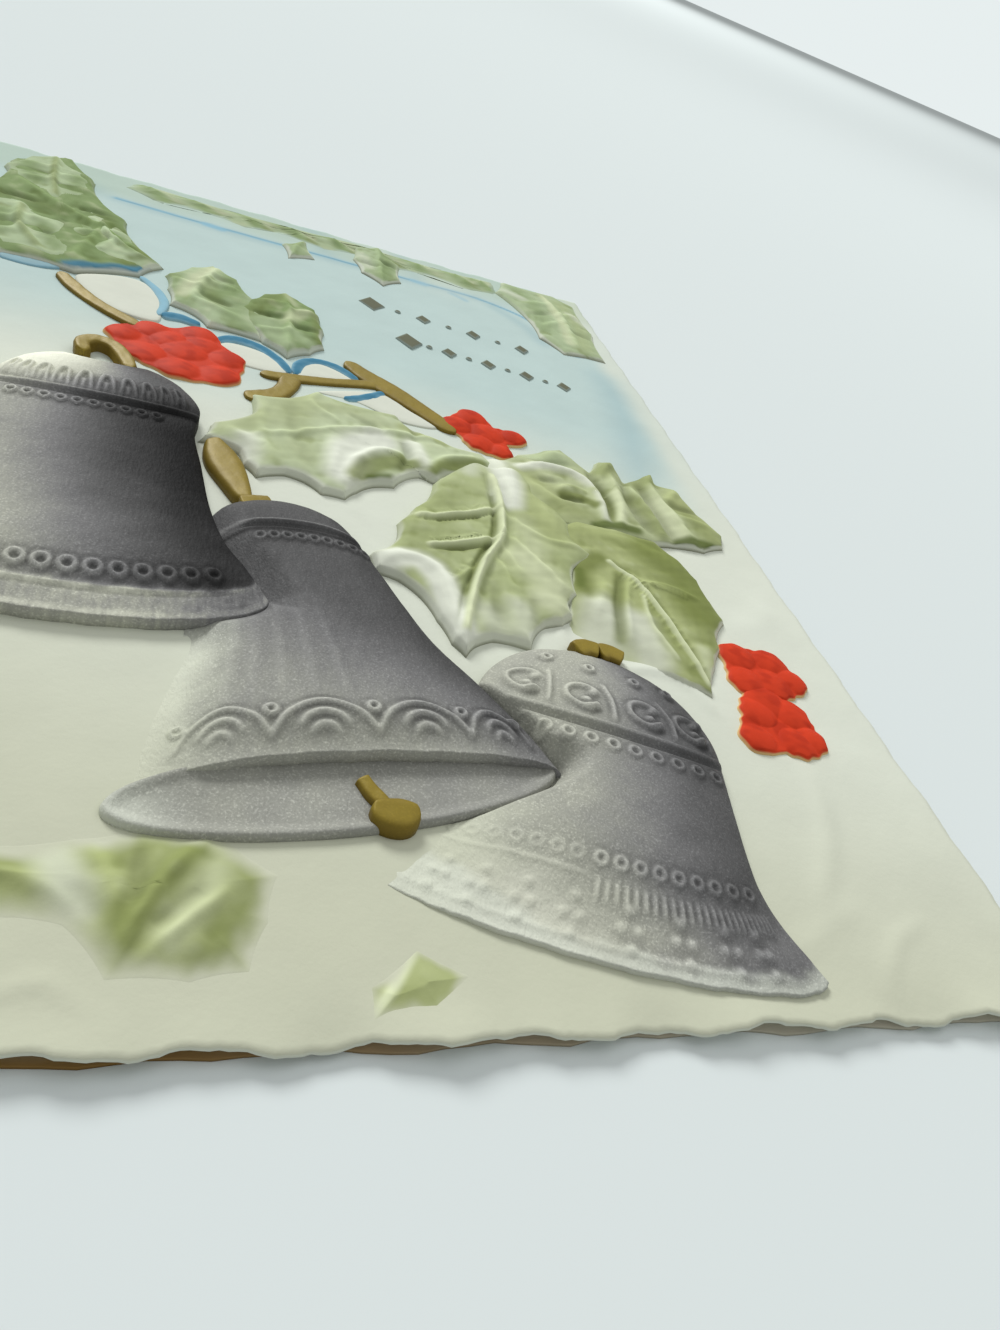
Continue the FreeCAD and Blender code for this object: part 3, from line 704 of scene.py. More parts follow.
def underMouth(x, y):  # height free to the right bell beside the mouth and the middle bell
    gap = (mouthShare(x, y) - 1.01) * mouth["half"][1] * 1.6
    fromMouth = np.where(gap < 0, 0.03, 0.03 + 2.6 * np.clip(gap, 0, None) ** 0.8)
    return np.minimum(fromMouth, 0.35 + 3.0 * np.clip(bellGap(middleBell, x, y) - 0.1, 0, None))


def buildMouth():
    turns = np.linspace(0, 2 * math.pi, mouth["rays"], endpoint=False)
    lean = math.radians(mouth["lean"])
    across, up = mouth["half"][0] * np.cos(turns), mouth["half"][1] * np.sin(turns)
    outline = np.column_stack([mouth["center"][0] + across * math.cos(lean) - up * math.sin(lean),
                               mouth["center"][1] + across * math.sin(lean) + up * math.cos(lean)])

    def surface(x, y, edge):
        bowl = mouth["floor"] + (mouth["rim"] - mouth["floor"]) * np.exp(-((edge - 0.35) / 0.55) ** 2)
        folds = 0.012 * np.sin(2 * math.pi * (x + 0.15 * y) / 1.15) * smooth(0.6, 2.0, edge)
        height = (bowl + folds) * (0.35 + 0.65 * shoulder(edge, 0.3)) + 0.02 * waves(x, y, 2, 51)
        tone = 164 - 12 * smooth(-18, 6, x) + 5 * waves(x, y, 5, 52)
        colour = fade(grey(tone), "cream", 0.75 * smooth(-13, -20, x) * smooth(-50, -54, y))
        above = y - mouth["center"][1] - mouth["slope"] * (x - mouth["center"][0])
        shadow = smooth(-1.2, 1.6, above)
        return face + height, colour * (1 - 0.12 * shadow)[..., None]
    patchPiece("middleMouth", outline, mouth["center"], mouth["rings"], surface,
               finishes["silver"], power=0.7)


def buildBells():
    buildBell("leftBell", leftBell, leftTone, arches(leftBell, -66, 60, 10, 8.6, 5.4),
              beadRow(leftBell, 11.1, -54, 36, 10, 0.44, 0.32, 0.26)
              + beadRow(leftBell, 33.2, -70, 52.6, 14, 0.56, 0.4, 0.3))
    folds = flutes(middleBell, [-48, -38, -28, -18, -8, 2], 17, 28, 1.1, 0.08)
    between = [(*onBell(middleBell, angle, 30.0), 0.4, 0.36, 0.26) for angle in (-50, -21, 8, 37, 64)]
    buildBell("middleBell", middleBell, middleTone, scallops(middleBell, -50, 66, 4, 32.0, 29.4) + folds,
              beadRow(middleBell, 8.3, -20, 64, 9, 0.42, 0.32, 0.22) + between, underLeftBell)
    curls, dots = scrolls(rightBell, [-44, -12, 20, 50], 7.4, 1.6)
    lines = [ridge(rightBell, np.linspace(-75, -8, 9), np.full(9, 24.4), 0.35, 0.10),
             ridge(rightBell, np.linspace(-70, 60, 15), np.full(15, 28.3), 0.5, 0.10)]
    beads = (beadRow(rightBell, 12.2, -56, 62, 11) + beadRow(rightBell, 23.2, -64, -12, 7, 0.42, 0.34, 0.08)
             + beadRow(rightBell, 23.2, -4, 60, 9, 0.42, 0.34, 0.16))
    buildBell("rightBell", rightBell, rightTone,
              curls + ticks(rightBell, np.linspace(-4, 66, 24), 24.6, 25.8) + lines,
              dots + beads + petals(rightBell, [-52, -38, -24, -10, 6, 22, 38, 52], 27.0), underMouth)
    buildMouth()


buildBells()
print("bells built")


# Ribbons: a raised or flat band along a curve, narrower towards its ends where taper is above 0
ribbonColumns = 15


def ribbonPiece(name, points, width, rise, inkName, edgeName, finish, taper=0.0, lift=0.0, flat=1.0):
    line = curve(points, 16)
    way = np.gradient(line, axis=0)
    way /= np.hypot(way[:, 0], way[:, 1])[:, None]
    along = np.linspace(0, 1, len(line))
    half = 0.5 * width * (1 - taper * (1 - swell(along)))
    ends = np.minimum(1, swell(along) * 2.2 + 0.05)
    half = half * (1 + 0.06 * np.sin(2.1 * along * len(points) + 3 * width))
    side = np.linspace(-1, 1, ribbonColumns)  # from the right of the path to its left, so the face points up
    offset = side[:, None] * (half * ends)[None]
    x = line[None, :, 0] - way[None, :, 1] * offset
    y = line[None, :, 1] + way[None, :, 0] * offset
    crown = (1 - np.abs(side) ** (2 * flat)) ** 0.5 * (1 + 0.18 * side)
    height = lift + rise * crown[:, None] * (0.4 + 0.6 * ends[None]) + 0.03 * waves(x, y, 1.6, 61)
    share = (np.abs(side) ** 3)[:, None] + 0.25 * waves(x, y, 2.4, 62)
    colour = inks[inkName] + (inks[edgeName] - inks[inkName]) * np.clip(share, 0, 1)[..., None]
    gridPiece(name, x, y, face + np.maximum(height, 0.02), colour, finishes[finish], face - sunk)


def goldPiece(name, points, width, rise, taper=0.0, lift=0.0):
    ribbonPiece(name, points, width, rise, "gold", "goldDark", "gold", taper, lift, flat=2.2)


# Gold forms: points of the middle line, width, rise, how far the ends narrow, and height of the foot
goldForms = {"crownRing": ([(-25.6, 5.4), (-25.9, 7.6), (-24.6, 8.8), (-22.8, 8.0), (-21.6, 5.6),
                            (-21.0, 3.4)],
                           1.6, 0.35, 0.0, 0.9),
             "spindle": ([(-13.0, -7.4), (-12.2, -10.0), (-11.1, -13.6), (-9.9, -18.2)], 3.3, 0.8, 0.85, 0.4),
             "spindleNub": ([(-10.6, -18.9), (-9.2, -18.5), (-7.8, -18.0)], 1.9, 0.3, 0.2, 1.3),
             "rightNubA": ([(18.7, -33.7), (19.9, -33.2), (21.1, -33.5)], 2.2, 0.4, 0.2, 0.9),
             "rightNubB": ([(21.2, -33.5), (22.2, -33.4), (23.5, -34.1)], 2.2, 0.4, 0.2, 0.8),
             "clapperRod": ([(-3.0, -50.6), (-2.4, -51.8), (-1.6, -53.0)], 1.2, 0.5, 0.0, 0.4),
             "clapperBall": ([(-2.8, -53.6), (-1.1, -54.0), (0.7, -53.8)], 2.9, 0.7, 0.95, 0.6),
             "stemLeft": ([(-30.0, 26.2), (-28.0, 22.9), (-25.2, 19.6), (-20.5, 16.0)], 1.8, 0.22, 0.2, 0.25),
             "stemMiddle": ([(-7.6, 10.9), (-4.2, 11.4), (0.4, 12.6), (5.0, 14.2), (8.4, 15.0)],
                            1.7, 0.2, 0.0, 0.25),
             "stemFork": ([(-4.0, 11.6), (-4.7, 8.8), (-6.2, 6.2), (-9.4, 4.2)], 2.4, 0.2, 0.0, 0.3),
             "stemRight": ([(3.2, 19.6), (5.6, 16.6), (9.0, 13.4), (12.2, 9.8), (15.2, 6.2)],
                           3.3, 0.25, 0.5, 0.25)}


def buildGold():
    for name, form in goldForms.items():
        goldPiece(name, *form)


buildGold()
print("gold forms built")


# Leaves: tips joined by hollow arcs, a quarter-round rise from the outline, ribs and folds pressed in, then
# ink. Each has its tips anticlockwise, its middle, its layer, its inks and its strokes. Rise and step set a
# layer's height, and border and trim how near a leaf comes to the card's edge. A soft leaf's rim melts into
# the sheet, and a melt is a place and a reach where a leaf sinks back into it.
leafLook = {"rise": 0.9, "step": 0.2, "scale": 0.85, "ribLift": 1.35, "least": 0.03, "most": 2.2,
            "border": 1.0, "trim": 0.2, "tickGap": 0.35, "tickWidth": 0.32, "tickRise": 0.10}


def hollyOutline(tips, count, bite):
    tips = np.asarray(tips, float)
    run = np.roll(tips, -1, 0) - tips
    inward = np.column_stack([-run[:, 1], run[:, 0]])
    way = np.linspace(0, 1, count, endpoint=False)[None, :, None]
    arc = tips[:, None] + run[:, None] * way + inward[:, None] * bite * 4 * way * (1 - way)
    return arc.reshape(-1, 2)


def hatching(points, side, reach, count):  # short ticks leaning off a vein
    line = curve(points, 8)
    picks = np.linspace(3, len(line) - 3, count).astype(int)
    strokes = []
    for pick in picks:
        way = line[pick + 1] - line[pick]
        way /= np.hypot(*way)
        off = np.array([-way[1], way[0]]) * side + 0.5 * way
        ends = [tuple(line[pick] + leafLook["tickGap"] * off), tuple(line[pick] + reach * off)]
        strokes.append((ends, leafLook["tickWidth"], leafLook["tickRise"]))
    return strokes


def leafPiece(name, tips, middle, layer, base, inksOn, ribs, fine, ringCount, bite, rise=leafLook["rise"],
              ruffle=0.14, rim=0.6, soft=0.0, softReach=2.0, melts=()):
    top = leafLook["scale"] * (rise + leafLook["step"] * layer)

    def surface(x, y, edge):
        plain = top * (0.25 * shoulder(edge, 0.3) + 0.75 * shoulder(edge, 1.7))
        plain += 0.25 * (1 - np.exp(-edge / 3.0))
        height = press(x, y, plain, [(line, width, leafLook["ribLift"] * lift) for line, width, lift in ribs])
        carved = height - plain
        fold = waves(x, y, 4.6, 71)
        height += ruffle * fold * np.clip(edge / 1.2, 0, 1)
        height *= np.clip(0.35 + edge / 0.5, 0, 1) * (1 - soft * (1 - smooth(0, 3.2, edge)))
        for meltX, meltY, reach in melts:  # where the leaf sinks back into the sheet
            height *= 1 - 0.92 * np.exp(-(((x - meltX) ** 2 + (y - meltY) ** 2) / reach ** 2) ** 2)
        colour = np.broadcast_to(inks[base], (len(x), 3)) * (1 + 0.08 * waves(x, y, 3.0, 72))[:, None]
        shade = "greenDeep" if base == "greenCool" else "greenDark"
        colour = fade(colour, shade, 0.5 * smooth(0.1, 0.8, -fold))
        colour = fade(colour, "greenPale", 0.35 * smooth(0.1, 0.8, fold))
        # painted highlight on the raised ribs and painted shade in the pressed grooves
        colour = paint(x, y, colour, inksOn) * (1 + 0.7 * np.clip(carved, -0.4, 0.25))[:, None]
        nearSide = smooth(-0.5, 0.6, (middle[1] - y) / (np.hypot(x - middle[0], y - middle[1]) + 0.01))
        bare = 1 - smooth(0.2, np.maximum(rim + 0.4 * fold, 0.3), edge)
        bare = bare * (0.25 + 0.75 * nearSide) * (1 - soft)
        colour = fade(colour, "white", 0.85 * np.clip(bare, 0, 1))
        if soft:
            thin = soft * (1 - smooth(0.1, softReach, edge + 0.6 * fold))
            colour = colour + (sheetTint(x, y) - colour) * thin[:, None]
        # painted contact shade along the foot of the near side, together with the printed dark line there
        colour = fade(colour, "footShadeAndLine", 0.75 * nearSide * (1 - smooth(0.02, 0.14, edge)) * (1 - soft))
        low = soft * (sheetRelief(x, y) - 0.08 * (1 - smooth(0, 0.4, edge))) if soft else 0
        height = np.clip(height, leafLook["least"] * (1 - 0.9 * soft), leafLook["most"])
        return face + height + low, np.clip(colour, 0, 1)
    outline = hollyOutline(tips, fine, bite)
    room = np.array([card["width"], card["height"]]) / 2 - leafLook["border"]
    if np.any(np.abs(outline) > room):
        outline = np.clip(outline, leafLook["trim"] - room, room - leafLook["trim"])
    patchPiece(name, outline, middle, ringCount, surface, finishes["green"])


spreadRib = [(13.0, 2.0), (8.0, 1.4), (3.0, 0.4), (-2.0, -2.0), (-9.0, -5.6)]
frontRib = [(17.0, -4.6), (16.8, -9.0), (16.0, -14.0), (15.0, -17.5), (13.0, -21.0), (11.0, -25.0),
            (9.5, -29.0), (8.2, -33.0)]
frontVeinA = [(16.2, -11.4), (13.0, -13.4), (9.0, -15.0), (6.6, -15.6)]
frontVeinB = [(14.6, -17.4), (11.0, -19.4), (7.0, -20.6)]
frontVeinC = [(12.6, -21.6), (10.4, -24.0), (8.4, -26.0)]
backRib = [(27.6, -17.8), (30.0, -22.0), (31.0, -27.0), (32.2, -36.0)]
backVein = [(29.6, -23.4), (28.8, -28.0), (29.8, -33.0)]

topSteps = [-23.0, -16.4, -9.2, -2.6, 4.4, 11.6, 18.0, 25.0, 29.6]

leafForms = {
    "leafTall": dict(
        tips=[(-33, 71), (-40, 62), (-41, 50), (-43, 41), (-40, 31), (-36.5, 27.5), (-28.5, 27.2),
              (-21.5, 31), (-18.8, 35.8), (-22.5, 41.5), (-24, 49), (-27.5, 54), (-29, 62)],
        middle=(-32.0, 42.0), layer=0, base="greenCool", fine=14, ringCount=44, rise=0.9, bite=0.06,
        ruffle=0.2,
        inksOn=[([(-31.4, 60), (-32, 56)], 2.0, 1.6, "greenDeep", 0.5),
                ([(-27, 47), (-25.6, 43)], 2.6, 2.0, "greenDeep", 0.5),
                ([(-40, 46), (-36, 46), (-32, 44)], 2.6, 2.0, "greenDeep", 0.5),
                ([(-20.6, 39.4), (-21.4, 35), (-23, 32.8)], 3.0, 2.2, "greenDark", 0.5),
                ([(-29.4, 28.0), (-25, 30.2), (-21.4, 32.2), (-19.4, 35.2)], 1.6, 1.0, "blue", 0.9)],
        ribs=[([(-30, 48), (-26.6, 48)], 1.4, -0.3), ([(-35, 46), (-39.4, 47)], 1.5, -0.3),
              ([(-38, 53), (-33, 47), (-27, 42), (-21.5, 37)], 1.4, 0.4),
              ([(-26, 45), (-27.4, 38), (-29, 31)], 1.3, 0.35), ([(-24, 40), (-25, 34)], 1.3, -0.35),
              ([(-31, 42), (-33.4, 33)], 1.3, -0.35)]),
    "leafTallHigh": dict(
        tips=[(-34.5, 68.5), (-38, 65), (-40.4, 59), (-39, 54), (-36.6, 49.6), (-33, 46.8), (-31, 50),
              (-29, 52), (-28.4, 56), (-29.4, 59), (-30, 63), (-32.4, 65)],
        middle=(-34.2, 57.0), layer=1, base="greenCoolPale", fine=12, ringCount=34, bite=0.04, rise=0.8,
        ruffle=0.16,
        inksOn=[([(-37.6, 60), (-36, 54)], 2.6, 2.6, "greenCool", 0.8),
                ([(-31, 60), (-31, 54)], 2.0, 2.0, "greenCool", 0.7),
                ([(-34.6, 65), (-34, 57), (-33, 50)], 0.9, 0.8, "greenDark", 0.6)],
        ribs=[([(-34.4, 66), (-34, 57), (-33, 49)], 1.1, 0.4), ([(-34, 60), (-38, 61)], 1.4, 0.26),
              ([(-34, 55), (-37.6, 55)], 1.4, 0.26), ([(-33.8, 58), (-30, 60)], 1.4, 0.26),
              ([(-34, 57.6), (-38.6, 58)], 1.3, -0.3), ([(-33.6, 54), (-29.6, 55.6)], 1.3, -0.3)]),
    "leafTallLow": dict(
        tips=[(-41.4, 44), (-42, 40), (-40, 33), (-37, 28.8), (-31, 28.4), (-26.4, 30), (-28, 33.6),
              (-29.6, 37), (-30.4, 41), (-33.4, 44), (-37, 46.6)],
        middle=(-35.4, 36.6), layer=1, base="greenCoolPale", fine=12, ringCount=34, bite=0.03, rise=0.8,
        ruffle=0.17,
        inksOn=[([(-38, 40), (-38, 33)], 2.4, 2.4, "greenCool", 0.8),
                ([(-33, 38), (-31, 32)], 2.0, 2.0, "greenCool", 0.7),
                ([(-36, 43), (-35.6, 36), (-33, 30.6)], 0.9, 0.8, "greenDark", 0.5)],
        ribs=[([(-36.4, 43.4), (-35.6, 36), (-32.4, 30)], 1.1, 0.4), ([(-35.8, 38), (-39.4, 37)], 1.4, 0.26),
              ([(-35.4, 34.4), (-38, 32)], 1.4, 0.26), ([(-35.8, 39), (-32.6, 40)], 1.3, 0.24),
              ([(-35.6, 36.4), (-39, 34.6)], 1.3, -0.3), ([(-35.2, 36), (-31.6, 36.4)], 1.3, -0.3)]),
    "leafTallSide": dict(
        tips=[(-28.6, 48.6), (-31.6, 44), (-30.8, 39), (-28, 34), (-24.6, 31.6), (-21, 32.6), (-18.9, 35.6),
              (-21.6, 39), (-23, 42.6), (-25, 46.6)],
        middle=(-26.0, 39.0), layer=2, base="greenCoolPale", fine=12, ringCount=34, bite=0.04, rise=0.6,
        ruffle=0.16,
        inksOn=[([(-29, 42), (-27, 37)], 2.2, 2.2, "greenCool", 0.75),
                ([(-24, 40), (-22.6, 37)], 1.8, 1.6, "greenCool", 0.8),
                ([(-22.6, 34.4), (-20.6, 36)], 1.4, 1.2, "greenDeep", 0.6)],
        ribs=[([(-28, 44.6), (-25.6, 39.6), (-21.6, 35.6)], 1.1, 0.4), ([(-26, 40), (-29.8, 39)], 1.4, 0.26),
              ([(-25, 38.6), (-26.4, 34.6)], 1.4, 0.26), ([(-26.4, 41), (-24, 42)], 1.3, 0.24),
              ([(-25.6, 39), (-28.4, 36.4)], 1.3, -0.3)]),
    "leafUpperA": dict(
        tips=[(-9.4, 37.4), (-12.8, 40.6), (-15.8, 37.8), (-18.6, 33.6), (-18.2, 29.4), (-17.8, 24.6),
              (-15, 23.2), (-13.4, 20.6), (-7, 20), (-6, 26), (-7.6, 32), (-9, 35.4)],
        middle=(-12.4, 30.0), layer=0, base="greenCoolPale", fine=16, ringCount=34, bite=0.07,
        inksOn=[([(-10.2, 36.4), (-10, 32.6), (-13, 28.4)], 3.0, 2.6, "greenCool", 0.85),
                ([(-17.4, 34), (-17.4, 29), (-16, 25)], 2.4, 2.4, "greenCool", 0.5),
                ([(-13.8, 32), (-12.4, 26)], 2.2, 2.0, "greenDark", 0.35),
                ([(-9, 29), (-10.6, 24), (-9, 21)], 2.8, 2.4, "greenCool", 0.6),
                ([(-12.8, 38.4), (-15, 32.6), (-16.4, 27.6)], 1.8, 1.8, "greenPale", 0.8)],
        ribs=[([(-12.0, 38.6), (-14.0, 32), (-15.6, 25.6)], 1.2, 0.32), ([(-14, 33), (-10, 32.4)], 1.3, 0.26),
              ([(-14.6, 30), (-17.6, 32)], 1.3, 0.26), ([(-14.4, 28.6), (-10.4, 27)], 1.3, -0.3),
              ([(-13, 35.2), (-10, 35)], 1.3, -0.28), ([(-15, 26.4), (-10, 23.6)], 1.3, 0.26)]),
    "leafUpperB": dict(
        tips=[(-3.4, 37), (-6.6, 34.4), (-8.4, 31.4), (-10, 28), (-9.4, 23.6), (-7, 19.6), (-4.2, 16.8),
              (-1.2, 19.4), (0.8, 22), (1.2, 27), (1, 31), (0.6, 33.2), (-1.6, 35.2)],
        middle=(-4.0, 27.0), layer=1, base="greenCool", fine=16, ringCount=34, bite=0.06,
        inksOn=[([(-4, 34.6), (-6.4, 30.4), (-8.2, 26)], 2.8, 2.6, "greenDark", 0.4),
                ([(-6.6, 24.4), (-5, 18.6)], 3.6, 3.0, "greenCoolPale", 0.7),
                ([(-1.2, 30.4), (-3.6, 26.4)], 1.8, 1.4, "greenPale", 0.6),
                ([(-3, 22.6), (-1, 20.6)], 2.4, 2.4, "greenCoolPale", 0.6),
                ([(0.2, 31), (0.4, 22)], 1.6, 1.4, "greenDark", 0.5),
                ([(-3.4, 35.8), (-2.6, 32)], 1.2, 1.2, "greenPale", 0.5)],
        ribs=[([(-3.6, 35), (-3.4, 27), (-4.2, 18.4)], 1.2, 0.34), ([(-3.4, 29), (0, 30.6)], 1.3, 0.28),
              ([(-3.6, 25), (0, 25.4)], 1.3, -0.3), ([(-4, 27), (-8, 27)], 1.4, -0.3),
              ([(-3.6, 31), (-6.6, 31)], 1.3, 0.26), ([(-3.8, 22.4), (-7.6, 22)], 1.3, 0.26)]),
    "leafBack": dict(
        tips=[(26, -9.5), (23.5, -11.5), (23, -17), (21, -24), (19, -30), (23, -33.5), (27, -34.5),
              (30, -36.2), (32.3, -37.4), (34.5, -33), (36.5, -30), (37, -28), (39.3, -25), (39, -22),
              (39, -18), (38, -14.5), (36, -11), (31, -9.8)],
        middle=(31.0, -21.0), layer=0, base="greenMid", fine=16, ringCount=64, bite=0.04, rim=0.5,
        melts=[(19.5, -31, 4.4), (24.4, -34.4, 3.4)],
        inksOn=[([(25, -12), (30, -13.4)], 4.0, 3.0, "greenDark", 0.25),
                ([(34, -13.6), (36.8, -18), (36.4, -24.6)], 5.6, 3.6, "greenDark", 0.9),
                ([(32.6, -16), (34.4, -25)], 3.6, 3.0, "greenDark", 0.5),
                ([(36.4, -26.4), (34.6, -29.4)], 2.8, 2.4, "greenDark", 0.45),
                ([(24.0, -27), (22, -31.6)], 5.0, 3.6, "white", 0.7),
                ([(27.4, -28), (27.2, -33.6)], 3.6, 2.8, "white", 0.7),
                ([(33.6, -31), (32.8, -35.4)], 1.6, 1.6, "greenPale", 0.6),
                ([(28, -20), (26.2, -25), (24.6, -30.6)], 1.3, 1.0, "greenDark", 0.6),
                ([(30, -25), (30, -31), (32, -36)], 2.0, 1.4, "greenDark", 0.4),
                # painted shadow of the front leaf's edge on this leaf, in two strokes
                ([(26.4, -17.4), (23.8, -19.8), (22.8, -23.4)], 2.4, 1.8, "greenDark", 0.85),
                ([(23.4, -20), (22.7, -22.8)], 1.0, 0.8, "greenDeep", 0.6),
                (backRib, 0.7, 0.5, "greenPale", 0.85), (backVein, 0.5, 0.5, "greenPale", 0.6)],
        ribs=[(backRib, 0.6, 0.3), ([(x + 0.6, y) for x, y in backRib], 0.6, -0.26), (backVein, 0.7, 0.2),
              ([(29.6, -21.2), (33, -20.8), (36.6, -22.4)], 0.9, 0.2),
              ([(28, -20.4), (26.2, -25), (24.6, -31)], 1.0, -0.3),
              ([(29, -20.6), (27, -25), (25.4, -31)], 1.0, 0.26),
              ([(25, -12), (31, -13), (37.6, -16)], 2.4, 0.2), ([(25.6, -22), (23.4, -27)], 1.4, 0.2)]
             + hatching([(30.4, -20.4), (33, -20.8), (36, -22)], -1, 1.0, 12)
             + hatching(backRib, 1, 1.0, 16)
             + hatching(backRib, -1, 1.0, 16)),
    "leafSide": dict(
        tips=[(20, 1.5), (17, 0.5), (16, -3), (17, -8), (21, -10), (25, -11), (31, -11.4), (36, -11.6),
              (39, -11), (43, -11), (46.4, -9.4), (47.4, -7), (46, -3), (45, 0), (44.6, 3), (41.6, 3.2),
              (42.4, 6.4), (40, 4.6), (37, 2.4), (36.6, 6.9), (34, 6.2), (32, 3), (30.6, 5.6), (29.4, 7.6),
              (26.5, 6.4), (23, 4.5)],
        middle=(32.0, -3.0), layer=1, base="leafSoft", fine=14, ringCount=76, bite=0.04, rise=0.7, rim=0.3,
        melts=[(24, 5.6, 2.6)],
        inksOn=[([(18, 0), (19, -5)], 4.0, 2.6, "white", 0.85),
                ([(24.6, 5), (28, 4)], 4.4, 3.4, "greenCoolPale", 0.5),
                ([(22, -3), (26, -8.4)], 5.0, 3.4, "greenMid", 0.6),
                ([(36, 5.8), (33.2, 2.2)], 2.4, 1.6, "greenDark", 0.6),
                ([(41.6, 5.2), (38.2, 1.2)], 2.6, 1.8, "greenDark", 0.6),
                ([(44, 2.4), (42, -1.6)], 2.8, 2.4, "greenMid", 0.7),
                ([(44, -2), (46, -7.6)], 5.0, 3.4, "greenMid", 0.9),
                ([(43, -4), (44, -9)], 3.0, 3.0, "greenDark", 0.45),
                ([(39, -3), (39.8, -9)], 2.6, 2.0, "greenPale", 0.8),
                ([(35.6, -2.4), (36.6, -6), (37.2, -9.6)], 2.0, 1.6, "greenDark", 0.6),
                ([(21.6, -0.4), (25, 0.9), (28.4, 0.6), (30.4, -2)], 1.6, 1.1, "white", 0.8),
                ([(30.7, -4), (30.4, -9)], 1.2, 0.9, "white", 0.6),
                ([(31.6, -0.6), (32.1, -5), (31.2, -8.8)], 1.0, 0.8, "greenDark", 0.75),
                ([(33.6, -2.6), (33.2, -6.2), (32.2, -9)], 1.3, 1.0, "greenPale", 0.8),
                ([(25.8, -5.1), (28, -4.8), (29.6, -6.2)], 1.3, 0.9, "greenDark", 0.85),
                ([(24.4, -7.4), (28, -8.6)], 2.4, 2.0, "greenDark", 0.35),
                ([(28.6, -10.3), (30.6, -9.9), (34, -9.9)], 1.4, 0.9, "greenDeep", 0.85),
                ([(39.4, -10.6), (41.6, -10.1), (44.4, -10.1)], 1.4, 0.9, "greenDeep", 0.8)],
        ribs=[([(21.4, -0.8), (24, 0.8), (27, 0.9), (29.4, -0.4), (30.4, -3), (30.5, -6.5), (30, -9.8)], 1.5,
               0.42),
              ([(25.6, -4.2), (27.4, -3.2), (29.2, -3.9)], 1.3, 0.34),
              ([(25.4, -5.6), (28.6, -5.6)], 1.0, -0.35),
              ([(34.4, 4.6), (33.8, -2), (33.2, -6), (31.8, -9.8)], 1.4, 0.38),
              ([(31.6, 2), (32.0, -4.6), (31.0, -8.6)], 1.1, -0.45),
              ([(36.8, 3), (35.6, -1), (35.2, -6), (36, -10)], 1.2, -0.35),
              ([(36.2, 1), (37.2, -5), (37.4, -10)], 1.2, 0.28),
              ([(41.4, 5), (39.6, 0.4), (40.4, -5), (41.4, -10)], 1.4, 0.4),
              ([(38.2, 0.6), (38.4, -5), (39, -10.4)], 1.1, -0.4), ([(44, 1.6), (41.2, -1.6)], 1.4, 0.26),
              ([(41.2, -2.4), (45.4, -3)], 1.3, -0.3), ([(41, -4.6), (45.6, -6.6)], 1.3, 0.26),
              ([(36, 6), (33.8, 3), (32.2, 0.4)], 1.3, 0.3), ([(22, -3.6), (25, -8)], 1.6, 0.26),
              ([(23.6, -2.4), (26, -2.2)], 1.2, -0.25), ([(24, 4.6), (28.6, 5)], 1.4, 0.24),
              ([(24, 2.6), (29.4, 3)], 1.3, -0.26), ([(18.6, 0.6), (19.2, -8)], 2.0, 0.3)]),
    "leafSpread": dict(
        tips=[(8, 7.2), (3, 7.2), (-1.5, 8.6), (-5, 5.6), (-9, 4.6), (-8.8, 0.2), (-13, -3.4), (-14.2, -7.2),
              (-12, -7.2), (-10.4, -8.2), (-10, -10.2), (-8.8, -12.1), (-6, -10.7), (-4, -11.4),
              (-2.6, -13.1), (-0.2, -13.3), (1.2, -11.6), (3, -9.9), (5.4, -9.3), (6.8, -7.4), (8.6, -6.2),
              (10.6, -7.2), (12, -5.4), (16.5, -4), (19, -1), (17.5, 1.6), (13, 2.2), (10.5, 3.8)],
        middle=(1.0, -1.5), layer=1, base="leafPale", fine=12, ringCount=76, bite=0.05, rim=1.0,
        inksOn=[([(-11.6, -4), (-7, 0.6), (-3, 4)], 5.4, 4.0, "leafSoft", 0.75),
                ([(-3.6, 6), (-4.4, 0), (-4, -8)], 3.0, 2.6, "green", 0.45),
                ([(-8.6, -1), (-9.4, -5)], 2.6, 2.4, "greenDark", 0.22),
                ([(4.6, 5.6), (-0.6, 4.0)], 2.2, 2.2, "greenDark", 0.25),
                ([(-6.8, -7), (-7.6, -9.4)], 2.6, 2.4, "green", 0.35),
                ([(1, 6.4), (6, 6.6)], 2.6, 2.4, "green", 0.4),
                ([(2, 4.4), (6, 2.4)], 2.4, 2.4, "leafSoft", 0.5),
                ([(8.2, 3.2), (12.6, 2.2)], 1.9, 1.5, "greenMid", 0.8),
                ([(0.2, -9.6), (1.2, -4.6), (4.4, -1.6)], 4.6, 2.4, "white", 0.97),
                ([(-9.6, -6.6), (-9.6, -9.6)], 2.4, 2.2, "white", 0.7),
                ([(8.4, -0.6), (9, -4.8)], 2.2, 1.6, "white", 0.8),
                ([(1.3, -10.0), (3.0, -7.4), (5.4, -5.6), (7.6, -5.2)], 2.6, 1.4, "greenDark", 0.8),
                ([(2.8, -9.4), (5.2, -8.6)], 1.2, 0.9, "greenDeep", 0.9),
                ([(9.8, -6.8), (11.6, -4.6), (14.4, -3.2), (16.6, -2.2)], 2.4, 1.5, "greenDark", 0.85),
                ([(10.4, -6.6), (12.6, -4.8)], 1.0, 0.8, "greenDeep", 0.7)],
        ribs=[(spreadRib, 1.2, 0.3), ([(-1.4, 7.8), (-2.4, 4.4), (0.4, 1.0)], 1.0, 0.22),
              ([(8.0, 6.4), (9.4, 3.6), (9.0, 0.6)], 1.3, -0.32),
              ([(-4.4, 5), (-4.8, -2), (-3.4, -9.6)], 1.5, -0.16),
              ([(-8, 3), (-8.2, -4), (-7.4, -9.6)], 1.4, 0.2),
              ([(0.4, -11), (1.4, -7.0), (4.6, -3.8), (7.8, -4.4)], 1.5, 0.42),
